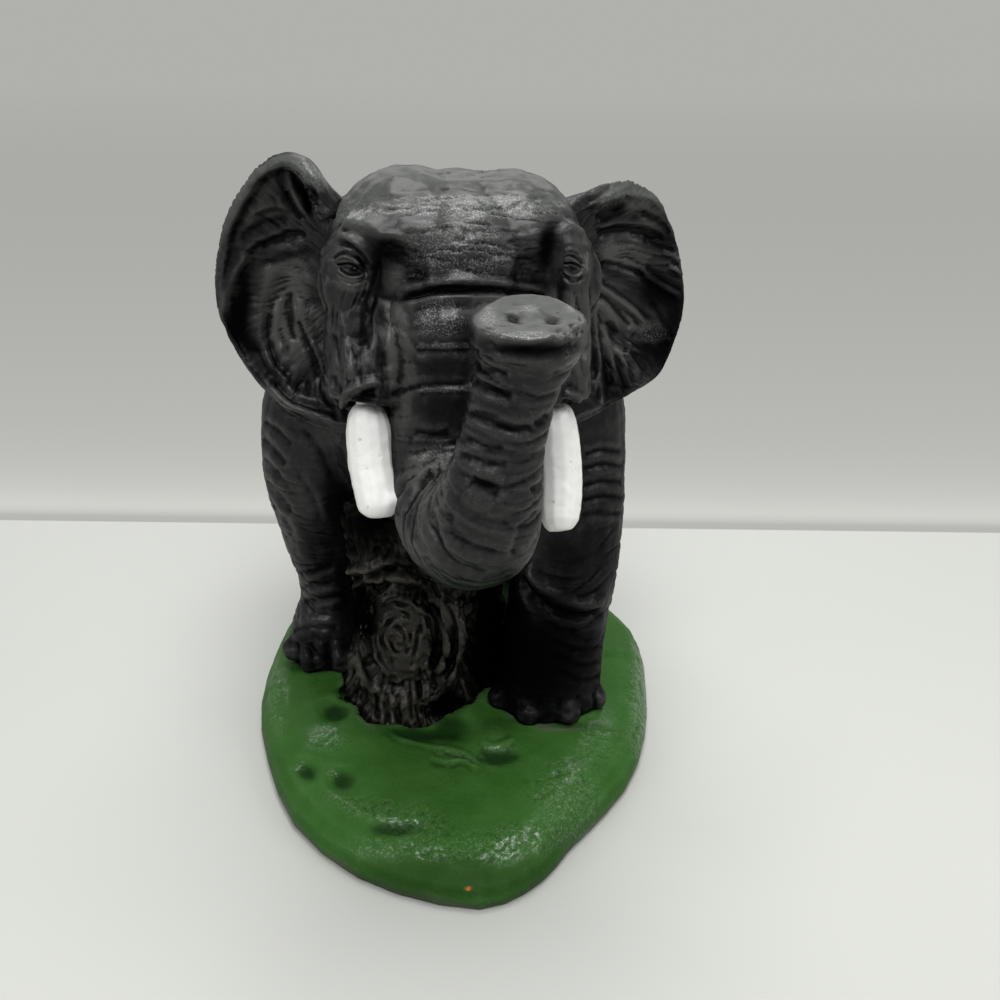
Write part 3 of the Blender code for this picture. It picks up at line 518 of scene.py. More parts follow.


# each look holds a dark colour for recesses and painted shade, and a light speck colour for painted glints
looks = {
    "hide": {
        "base": (0.0075, 0.0075, 0.0085), "second": (0.0125, 0.013, 0.013), "dry": (0.066, 0.069, 0.064),
        "dryShare": 0.6, "darkPaintAndShade": (0.0014, 0.0014, 0.0019), "recessPaintAndShadeShare": 0.9, "pale": (0.082, 0.086, 0.079),
        "paintedGlint": (0.3, 0.31, 0.3), "paintedGlintShare": 0.35, "grain": 2300.0, "roughness": 0.42, "roughnessSpread": 0.16,
        "shineRoughness": 0.3, "specular": 0.0, "varnish": 0.46, "varnishRoughness": 0.3, "bump": 0.8,
        "bumpHeight": 0.0003,
    },
    "ivory": {
        "base": (0.94, 0.94, 0.92), "second": (0.92, 0.92, 0.89), "dry": (0.95, 0.95, 0.94), "dryShare": 0.6,
        "darkPaintAndShade": (0.45, 0.44, 0.39), "recessPaintAndShadeShare": 0.5, "pale": (0.62, 0.61, 0.56), "paintedGlint": (0.9, 0.9, 0.9),
        "paintedGlintShare": 0.0, "grain": 900.0, "roughness": 0.24, "roughnessSpread": 0.1, "shineRoughness": 0.15,
        "specular": 0.5, "varnish": 0.0, "varnishRoughness": 0.1, "bump": 0.25, "bumpHeight": 0.00018,
    },
    "bark": {
        "base": (0.0065, 0.0062, 0.0052), "second": (0.0105, 0.0098, 0.008), "dry": (0.06, 0.056, 0.045),
        "dryShare": 0.85, "darkPaintAndShade": (0.0012, 0.0012, 0.0012), "recessPaintAndShadeShare": 0.97, "pale": (0.036, 0.033, 0.026),
        "paintedGlint": (0.16, 0.16, 0.15), "paintedGlintShare": 0.2, "grain": 1900.0, "roughness": 0.46, "roughnessSpread": 0.16,
        "shineRoughness": 0.3, "specular": 0.0, "varnish": 0.4, "varnishRoughness": 0.3, "bump": 0.8,
        "bumpHeight": 0.00032,
    },
    "grass": {
        "base": (0.028, 0.092, 0.015), "second": (0.036, 0.11, 0.021), "dry": (0.06, 0.15, 0.042), "dryShare": 0.6,
        "darkPaintAndShade": (0.005, 0.019, 0.0035), "recessPaintAndShadeShare": 0.6, "pale": (0.105, 0.1, 0.085), "paintedGlint": (0.3, 0.42, 0.27),
        "paintedGlintShare": 0.16, "grain": 1500.0, "roughness": 0.42, "roughnessSpread": 0.14, "shineRoughness": 0.24,
        "specular": 0.04, "varnish": 0.02, "varnishRoughness": 0.13, "bump": 0.7, "bumpHeight": 0.00036,
        "chip": (0.5, 0.16, 0.04),
    },
}
materials = {name: paintedMaterial(name + "Paint", look) for name, look in looks.items()}
print("materials ready")


# Elephant: one skin over head, trunk, body and legs, sculpted, then sawn into the pieces that the frame has
figure = {
    "grain": 0.00054, "evening": 45, "most": 190000,
    "neckPoint": (0.0008, -0.0077, 0.1256), "neckLean": 31.0, "legJoint": 0.054,
    "legs": {"leg_front_left": (0.028, -0.008), "leg_front_right": (-0.038, 0.014),
             "leg_hind_left": (0.028, 0.064), "leg_hind_right": (-0.034, 0.052)},
    "browDepth": 0.00030, "cheekDepth": 0.00034, "plainDepth": 0.00014, "foldDepth": 0.00042, "ringDepth": 0.00040,
    "fineDepth": 0.00010, "grainDepth": 0.00007,
    "brow": (470, 232, 88, 46, 0), "cheeks": [(344, 342, 28, 56, 0), (586, 335, 14, 60, 0)],
    # the trunk's middle line from the face round to the tip, with its radius, in millimetres
    "trunk": [
        (1.1, -35.0, 149.0, 8.4), (1.1, -38.8, 143.6, 14.2), (0.95, -42.4, 133.7, 16.3), (0.8, -45.2, 119.4, 16.5),
        (0.8, -49.5, 106.1, 16.3), (2.25, -60.0, 96.7, 15.8), (5.3, -72.5, 100.3, 13.4), (7.5, -78.5, 110.5, 11.05),
        (9.5, -80.0, 122.1, 9.15), (12.25, -80.0, 133.7, 8.65), (14.15, -80.3, 141.2, 9.75),
        (14.9, -80.6, 144.9, 11.2), (14.8, -80.9, 146.7, 11.7), (14.7, -81.08, 148.1, 11.6),
        (14.7, -81.18, 149.1, 10.9), (14.7, -81.22, 149.65, 9.8), (14.7, -81.26, 149.9, 8.3),
    ],
    "headStrokes": [
        (1.8, 0.6, 392, 296, 391, 350, 390, 398),
        (0.8, -1.5, 396, 302, 415, 295, 440, 290, 470, 289, 505, 291, 548, 298),
        (1.2, 0.45, 400, 291, 422, 285, 450, 281, 480, 282, 520, 286),
        (1.2, 0.5, 402, 308, 425, 301, 455, 298, 480, 299),
        (2.6, -1.6, 372, 262, 377, 282, 372, 306, 364, 326, 356, 348),
        (1.2, -0.9, 556, 262, 560, 300, 566, 340, 568, 380),
        (1.2, 1.1, 345, 412, 346, 400, 355, 391, 367, 386, 383, 383),
        (1.3, -1.6, 349, 418, 353, 403, 364, 395, 380, 393), (1.0, 0.8, 563, 393, 574, 397, 581, 408),
        (1.0, -1.0, 562, 402, 573, 406, 578, 414),
        (0.9, -0.8, 322, 196, 314, 226, 314, 262, 317, 300, 321, 336, 331, 372, 342, 408),
        (0.6, -0.6, 313, 262, 319, 292, 327, 315), (0.6, 0.4, 310, 262, 315, 296, 322, 318),
        (0.9, -0.7, 588, 205, 595, 232, 597, 262, 594, 296, 598, 330, 596, 368, 586, 402),
        (0.9, 0.9, 333, 234, 349, 238, 362, 248, 370, 259, 374, 270, 372, 284, 366, 300),
        (0.6, -0.6, 331, 241, 346, 244, 357, 253, 366, 268, 367, 280),
        (1.3, 0.5, 329, 228, 347, 224, 366, 225, 382, 234, 400, 240, 410, 253, 418, 274),
        (0.9, 0.5, 321, 330, 325, 352, 333, 378), (0.8, -0.4, 333, 330, 336, 356, 342, 384),
        (0.8, 0.4, 345, 335, 347, 360, 352, 382), (0.7, -0.35, 356, 352, 358, 372, 362, 386),
        (0.8, 0.4, 585, 290, 588, 330, 586, 370), (0.8, -0.4, 577, 300, 580, 340, 578, 375),
        (0.9, 0.4, 560, 230, 573, 226, 586, 234, 590, 250),
    ],
    "headDabs": [
        (389, 255, 21, 17, 25, -2.2), (372, 290, 9, 26, 8, -1.0), (549, 243, 10, 20, 15, -1.8),
        (356, 308, 15, 24, 0, 0.4), (455, 225, 62, 30, 0, 0.6), (400, 345, 11, 50, 0, -0.2),
        (468, 188, 30, 24, 0, 0.8), (400, 275, 12, 12, 0, 0.5), (347, 214, 30, 12, -8, 0.6),
        (562, 214, 24, 12, 10, 0.5), (363, 264, 4, 4, 0, -0.7),
    ],
    "trunkStrokes": [
        (1.5, -0.9, 478, 334, 496, 347, 528, 353, 560, 350, 582, 337), (0.35, 0.32, 414, 347, 435, 346, 472, 346),
        (0.7, -0.35, 414, 352, 435, 351, 472, 351), (0.35, 0.32, 412, 391, 435, 389, 468, 390),
        (0.7, -0.35, 412, 386, 435, 384, 468, 384), (0.8, -0.5, 390, 395, 405, 390, 420, 386),
        (0.9, -0.5, 412, 432, 430, 434, 452, 434), (0.9, -0.8, 469, 378, 487, 388, 514, 398),
        (0.9, -0.8, 464, 410, 484, 418, 512, 430, 538, 428), (0.9, -0.4, 472, 362, 490, 370, 510, 374),
        (0.9, -0.4, 463, 436, 482, 446, 505, 450), (1.3, -0.8, 468, 480, 482, 488, 500, 496),
        (1.0, -0.4, 458, 452, 480, 462, 510, 468), (0.9, -0.5, 534, 425, 542, 421, 550, 415),
        (0.9, -0.6, 530, 492, 540, 487, 548, 478), (0.9, -0.5, 541, 509, 528, 522, 519, 538, 513, 560),
        (0.7, 0.3, 548, 515, 536, 530, 527, 548), (1.0, -0.45, 446, 480, 434, 502, 432, 522, 442, 548),
        (1.0, -0.45, 436, 470, 418, 495, 410, 520, 418, 545), (1.0, -0.45, 428, 520, 438, 545, 460, 566, 490, 575),
        (1.0, -0.4, 446, 508, 452, 530, 472, 548, 500, 555), (1.0, -0.35, 455, 492, 465, 510, 488, 522, 512, 524),
        (0.8, 0.35, 404, 505, 410, 535, 428, 560),
    ],
    "trunkDabs": [
        (513, 315, 8, 4.4, 15, -0.9), (552, 318, 8, 3.8, 12, -0.9), (530, 316, 38, 13, 0, -0.6),
        (531, 311, 9, 6, 0, 0.4), (511, 322, 8, 2.6, 15, 0.3), (550, 325, 8, 2.4, 12, 0.3), (546, 490, 5, 5, 0, 1.1),
        (440, 320, 24, 16, 0, 0.6), (442, 368, 20, 16, 0, -0.3), (432, 462, 16, 18, 0, -0.4),
    ],
    "legStrokes": [
        (1.4, -1.5, 518, 572, 532, 594, 556, 611, 585, 617, 605, 608),
        (1.8, 1.1, 520, 558, 536, 580, 562, 599, 590, 605, 610, 596),
        (1.1, -0.45, 524, 590, 538, 612, 556, 628, 580, 634), (0.9, -0.5, 583, 455, 602, 450, 622, 452),
        (0.9, -0.5, 581, 470, 602, 464, 623, 466), (1.0, -0.55, 581, 487, 602, 481, 624, 482),
        (0.9, -0.5, 580, 502, 603, 496, 625, 498), (0.9, -0.4, 579, 516, 600, 512, 624, 514),
        (0.8, -0.4, 548, 640, 575, 650, 604, 646), (0.8, -0.4, 551, 655, 577, 665, 604, 662),
        (0.7, -0.35, 556, 672, 580, 680, 604, 676), (0.9, -0.45, 262, 420, 276, 430, 292, 446),
        (0.9, -0.5, 260, 436, 272, 448, 287, 466), (0.9, -0.45, 261, 456, 274, 470, 290, 490),
        (0.9, -0.5, 264, 480, 277, 494, 292, 515), (0.9, -0.45, 268, 503, 280, 516, 294, 536),
        (0.9, -0.4, 272, 524, 284, 538, 298, 554), (1.0, -0.35, 300, 425, 318, 450, 332, 480),
        (0.9, -0.3, 296, 470, 310, 492, 322, 520), (0.9, -0.45, 290, 575, 312, 572, 335, 566),
        (0.9, -0.45, 295, 588, 318, 586, 342, 580), (0.8, -0.4, 300, 602, 322, 600, 345, 594),
        (1.0, -0.6, 312, 640, 313, 656, 314, 672), (1.0, -0.6, 328, 640, 329, 656, 330, 672),
        (0.9, -0.4, 298, 640, 300, 655, 302, 668), (1.0, -0.5, 290, 632, 310, 626, 340, 628),
        (1.0, -0.4, 578, 694, 579, 706, 578, 720), (1.0, -0.3, 560, 696, 559, 708, 558, 724),
        (0.7, -0.5, 594, 692, 595, 703, 595, 716),
    ],
    "legDabs": [
        (304, 648, 12, 15, 0, 1.2), (321, 648, 10, 16, 0, 1.2), (338, 650, 9, 15, 0, 1.1), (314, 622, 20, 9, 0, 0.9),
        (587, 698, 8, 12, 0, 0.4), (569, 700, 9, 12, 0, 0.3), (601, 702, 5, 9, 0, 0.4), (500, 698, 8, 8, 0, -0.7),
        (530, 707, 9, 8, 0, -0.8), (568, 712, 8, 7, 0, -0.5), (566, 585, 34, 18, -15, 0.5),
        (312, 500, 24, 40, -25, 0.5),
    ],
    "eyes": [
        {
            "reach": (352, 274, 28, 44, 0),
            "lids": [
                (0.4, 0.3, 340, 249, 349, 248, 358, 253, 364, 262, 367, 270),
                (0.28, -0.5, 332, 261, 338, 255, 347, 253, 356, 257, 363, 265),
                (0.3, 0.35, 334, 263, 341, 258, 348, 258, 356, 262, 363, 269),
                (0.24, -0.8, 335, 265, 343, 264, 350, 264, 357, 267, 364, 272),
                (0.22, -0.4, 339, 267, 344, 272, 351, 275, 359, 274, 364, 270),
                (0.26, 0.26, 337, 269, 343, 275, 351, 278, 360, 277, 366, 272),
                (0.26, -0.2, 340, 279, 348, 283, 358, 283, 366, 279), (0.26, -0.4, 367, 282, 365, 291, 360, 301),
                (0.24, -0.25, 359, 291, 356, 299, 350, 311), (0.26, -0.2, 346, 289, 342, 299, 340, 312),
            ],
            "lumps": [(354, 269.5, 5.6, 4.4, 10, 0.85), (347, 258, 7, 4, 20, 0.25)],
        },
        {
            "reach": (573, 265, 20, 26, 0),
            "lids": [
                (0.38, 0.35, 563, 252, 571, 249, 579, 253, 583, 262),
                (0.28, -0.5, 563, 259, 570, 256, 578, 259, 583, 266),
                (0.24, -0.7, 563, 264, 570, 263, 577, 265, 583, 269),
                (0.3, 0.45, 563, 270, 569, 275, 577, 276, 583, 272),
                (0.34, -0.35, 563, 276, 570, 281, 578, 281, 584, 276),
            ],
            "lumps": [(573, 268, 4.0, 3.4, 0, 0.6)],
        },
    ],
    # paint: shade is dark paint and painted shade in hollows, under the lips and between the legs; pale a thin grey
    # coat, with painted sheen on the crown, temple and trunk tip; shine the varnish, with painted glints
    "paleShare": 0.68,
    "shade": [
        (386, 250, 22, 14, 28, 0.6), (379, 262, 8, 14, 0, 0.5), (377, 288, 7, 28, 6, 0.6),
        (370, 318, 13, 21, 14, 0.62), (361, 340, 10, 12, 0, 0.7), (362, 264, 3.4, 6, -30, 0.95),
        (354, 269.6, 6.0, 4.6, 10, 1.0), (343, 266, 7, 1.6, 10, 0.6), (549, 243, 12, 23, 15, 0.97),
        (355, 302, 1.4, 7, 24, 0.7), (364, 293, 1.4, 6, 18, 0.8), (549, 275, 8, 20, 0, 0.6),
        (573, 268, 4.4, 3.4, 10, 0.9), (366, 398, 15, 6, 0, 0.95), (570, 404, 10, 6, 0, 0.9),
        (443, 369, 28, 18, 0, 0.55), (443, 411, 28, 19, 0, 0.62), (440, 438, 25, 8, 0, 0.6),
        (463, 330, 12, 26, 0, 0.6), (452, 290.5, 56, 3.0, -2, 0.9), (407, 297, 11, 4, -30, 0.9),
        (530, 349, 46, 6.5, 0, 0.9), (534, 355, 24, 6, 0, 0.6), (512, 316, 7, 3.0, 15, 0.6),
        (552, 318.5, 7, 2.6, 12, 0.6), (499, 391, 13, 4, 12, 0.8), (482, 372, 9, 3, 15, 0.6),
        (505, 428, 15, 3.5, 12, 0.8), (490, 414, 12, 3, 15, 0.6), (486, 484, 13, 5, 12, 0.85),
        (540, 424, 7, 4, -20, 0.7), (494, 452, 16, 3, 8, 0.6), (546, 480, 4, 26, 0, 0.5), (530, 662, 60, 68, 0, 0.98),
        (572, 655, 46, 56, 5, 0.75), (600, 500, 34, 60, 0, 0.3), (575, 590, 30, 16, 10, 0.5),
        (508, 600, 18, 30, 0, 0.97), (562, 560, 20, 30, -10, 0.65), (555, 606, 30, 10, 30, 0.7),
        (337, 500, 16, 48, -14, 0.9), (344, 590, 10, 40, 0, 0.75), (316, 652, 30, 26, 0, 0.7),
        (320, 548, 22, 36, -10, 0.7), (596, 560, 30, 34, 0, 0.6), (600, 500, 26, 12, 0, 0.3),
        (352, 440, 10, 24, -20, 0.5),
    ],
    "pale": [
        (400, 350, 16, 94, 0, 1.0), (345, 258, 26, 26, 0, 0.4), (354, 285, 18, 8, 0, 0.8),
        (334, 316, 14, 44, 0, 0.35), (336, 212, 24, 20, 0, 0.9), (352, 222, 26, 16, -10, 0.8),
        (540, 192, 44, 22, 0, 0.5), (350, 372, 14, 22, 0, 0.5), (583, 335, 14, 80, 0, 0.6),
        (578, 255, 14, 28, 0, 0.5), (455, 200, 150, 60, 0, 0.62), (450, 182, 150, 26, 0, 0.72),
        (528, 316, 62, 28, 0, 1.0), (528, 316, 60, 26, 0, 0.8), (525, 366, 46, 9, 0, 0.5),
        (427, 470, 22, 26, -10, 0.95), (480, 555, 70, 40, 0, 0.28), (430, 510, 24, 44, 0, 0.45),
        (590, 470, 30, 60, 0, 0.12), (612, 590, 10, 12, 0, 0.4), (300, 440, 44, 50, 0, 0.15),
        (290, 575, 22, 12, 0, 0.35),
    ],
    "shine": [
        (478, 206, 92, 13, 0, 1.0), (455, 184, 150, 22, 0, 0.1), (456, 250, 58, 36, 0, 0.8),
        (440, 318, 27, 22, 0, 1.0), (532, 335, 46, 4, 0, 1.0), (491, 319, 10, 12, -20, 0.8),
        (530, 309, 12, 5, 0, 0.7), (574, 308, 8, 8, 30, 0.6), (360, 212, 30, 9, -10, 0.7), (332, 210, 18, 14, 0, 0.6),
        (434, 455, 26, 14, 0, 0.6), (354.4, 268.4, 1.4, 1.1, 0, 1.0), (574, 267, 1.2, 1.0, 0, 1.0),
        (443, 347, 30, 2.2, 0, 1.0), (443, 390, 30, 2.2, 0, 1.0), (570, 355, 12, 16, 40, 0.5),
    ],
}


def neckSide(points):
    # below nought on the head's side of the neck joint
    lean = math.radians(figure["neckLean"])
    return (points - np.array(figure["neckPoint"])) @ np.array((0.0, math.cos(lean), -math.sin(lean)))


def onTrunk(points):
    # how far along the trunk each point lies, in metres, and a mask of the trunk's own skin
    path = rounded(figure["trunk"], 50) / 1000
    steps = np.linalg.norm(np.diff(path[:, :3], axis=0), axis=1)
    along = np.zeros(len(points))
    mask = np.zeros(len(points))
    near = np.nonzero((points[:, 1] < -0.030) & (points[:, 2] > 0.074))[0]
    gap, share = awayFrom(points[near], path[:, :3])
    reached = np.concatenate([[0.0], np.cumsum(steps)]) / steps.sum()
    radius = np.interp(share, reached, path[:, 3])
    along[near] = share * steps.sum()
    mask[near] = smooth(1.22, 1.04, gap / radius) * smooth(0.26, 0.34, share)
    return along, mask


def within(pixels, patch):
    # one inside a squarish patch of the photograph, nought outside it
    across, down = turned(pixels, *patch)
    return np.exp(-(across**4) - down**4)


def creases(points, view, onHead, along, trunkMask):
    # wrinkles over the whole skin, each part's running its own way
    pixels, _, front = view
    flat = np.column_stack([pixels, np.zeros(len(pixels))])
    seen = smooth(0.1, 0.4, front)
    brow = within(pixels, figure["brow"]) * seen * onHead
    furrows = noise(flat * (1 / 66, 1 / 10, 0), 11) + 0.25 * noise(flat * (1 / 16, 1 / 5, 0), 12)
    cut = figure["browDepth"] * brow * lines(furrows, 0.15)
    cheek = sum(within(pixels, patch) for patch in figure["cheeks"])
    cheek *= seen * onHead
    cut += figure["cheekDepth"] * cheek * lines(noise(flat * (1 / 8, 1 / 50, 0) + 3, 13), 0.20)
    bent = wobble(points, 40, 0.0045, 21)
    low = smooth(0.085, 0.060, points[:, 2])
    rings = lines(noise(bent * (50, 50, 190), 31), 0.15) + 0.35 * lines(noise(bent * (80, 80, 420), 32), 0.2)
    hanging = lines(noise(bent * (45, 150, 40), 33), 0.13) + 0.35 * lines(noise(bent * (90, 330, 70), 34), 0.2)
    patch = smooth(-0.35, 0.40, noise(points * 30, 35))
    shoulder = smooth(0.030, 0.0, points[:, 1])
    mix = np.maximum(low, 0.6 * shoulder)
    body = (1 - onHead) * (mix * rings + (1 - mix) * hanging)
    cut += figure["foldDepth"] * body * (0.15 + 0.85 * patch)
    plain = onHead * (1 - np.clip(brow + cheek, 0, 1)) * (1 - trunkMask)
    cut += figure["plainDepth"] * plain * lines(noise(bent * (110, 110, 240), 36), 0.18)
    turns = np.column_stack([along * 210 + noise(points * 60, 41) * 0.5, points[:, 0] * 46, points[:, 2] * 8])
    fineTurns = np.column_stack([along * 520 + noise(points * 90, 42) * 0.7, points[:, 0] * 90, points[:, 1] * 60])
    cut += figure["ringDepth"] * trunkMask * (lines(noise(turns, 43), 0.15) + 0.3 * lines(noise(fineTurns, 44), 0.2))
    return cut


def sculptFigure(obj):
    points, normals, view = survey(obj)
    onHead = smooth(0.002, -0.004, neckSide(points))
    along, trunkMask = onTrunk(points)
    moved = onHead * (1 - trunkMask) * (carve(view, figure["headStrokes"]) + dab(view, figure["headDabs"]))
    moved += onHead * (carve(view, figure["trunkStrokes"]) + dab(view, figure["trunkDabs"]))
    moved += (1 - onHead) * (carve(view, figure["legStrokes"]) + dab(view, figure["legDabs"]))
    moved -= creases(points, view, onHead, along, trunkMask)
    moved += figure["fineDepth"] * noise(points * 380, 37) + figure["grainDepth"] * noise(points * 850, 38)
    swell(obj, points, normals, moved)


def paintFigure(obj):
    paintMasks(obj)
    points, _, view = survey(obj)
    pixels = view[0]
    streaks = noise(np.column_stack([pixels / (5, 42), points[:, 2] * 0]), 45)
    setMask(obj, "shade", blot(view, points, figure["shade"]))
    pale = brushedOver(blot(view, points, figure["pale"]), streaks, 0.14)
    setMask(obj, "pale", figure["paleShare"] * pale)
    glints = noise(np.column_stack([pixels / (38, 5), points[:, 2] * 0]), 46)
    setMask(obj, "shine", brushedOver(blot(view, points, figure["shine"]), glints, 0.8))


def refined(obj, reach, cuts):
    # a finer net where the photograph shows small shapes
    pixels, depth, front = survey(obj)[2]
    across, down = turned(pixels, *reach)
    near = (across**2 + down**2 < 1) & (front > 0.1) & (depth < 0.30)
    only(obj)
    bpy.ops.object.mode_set(mode="EDIT")
    bpy.ops.mesh.select_mode(type="FACE")
    bpy.ops.mesh.select_all(action="DESELECT")
    bpy.ops.object.mode_set(mode="OBJECT")
    for face in obj.data.polygons:
        face.select = all(near[i] for i in face.vertices)
    bpy.ops.object.mode_set(mode="EDIT")
    bpy.ops.mesh.subdivide(number_cuts=cuts, smoothness=1.0)
    bpy.ops.object.mode_set(mode="OBJECT")


def makeEye(obj, eye):
    refined(obj, eye["reach"], 2)
    points, normals, view = survey(obj)
    swell(obj, points, normals, carve(view, eye["lids"]) + dab(view, eye["lumps"]))


def makeFigure():
    whole = copied("figure", "head", "torso", *figure["legs"])
    tube = roundTube("trunkTube", figure["trunk"])
    only(whole, tube)
    bpy.ops.object.join()
    reskin(whole, figure["grain"], figure["evening"])
    whole = keepBiggest(whole)
    print("figure skin:", len(whole.data.vertices), "points")
    sculptFigure(whole)
    for eye in figure["eyes"]:
        makeEye(whole, eye)
    paintFigure(whole)
    lean = math.radians(figure["neckLean"])
    intoBody = Vector((0.0, math.cos(lean), -math.sin(lean)))
    joint = (0.0, 0.0, figure["legJoint"])
    head = keepBiggest(sawn(whole, "headPiece", figure["neckPoint"], intoBody))
    upper = sawn(whole, "upper", figure["neckPoint"], -intoBody)
    torso = keepBiggest(sawn(upper, "torsoPiece", joint, (0.0, 0.0, -1.0)))
    lower = sawn(upper, "lower", joint, (0.0, 0.0, 1.0))
    bpy.data.objects.remove(upper)
    bpy.data.objects.remove(whole)
    only(lower)
    bpy.ops.object.mode_set(mode="EDIT")
    bpy.ops.mesh.separate(type="LOOSE")
    bpy.ops.object.mode_set(mode="OBJECT")
    legs = {}
    for part in list(bpy.context.selected_objects):
        middle = readPoints(part).mean(0)
        if len(part.data.vertices) < 500:
            bpy.data.objects.remove(part)
            continue
        name = min(figure["legs"], key=lambda leg: math.dist(figure["legs"][leg], middle[:2]))
        legs[name] = part
        part.name = name + "Piece"
    finished(lightened(head, figure["most"]), ["head", "trunk"], "hide")
    finished(lightened(torso, figure["most"]), ["torso"], "hide")
    for name, leg in legs.items():
        finished(leg, [name], "hide")


makeFigure()


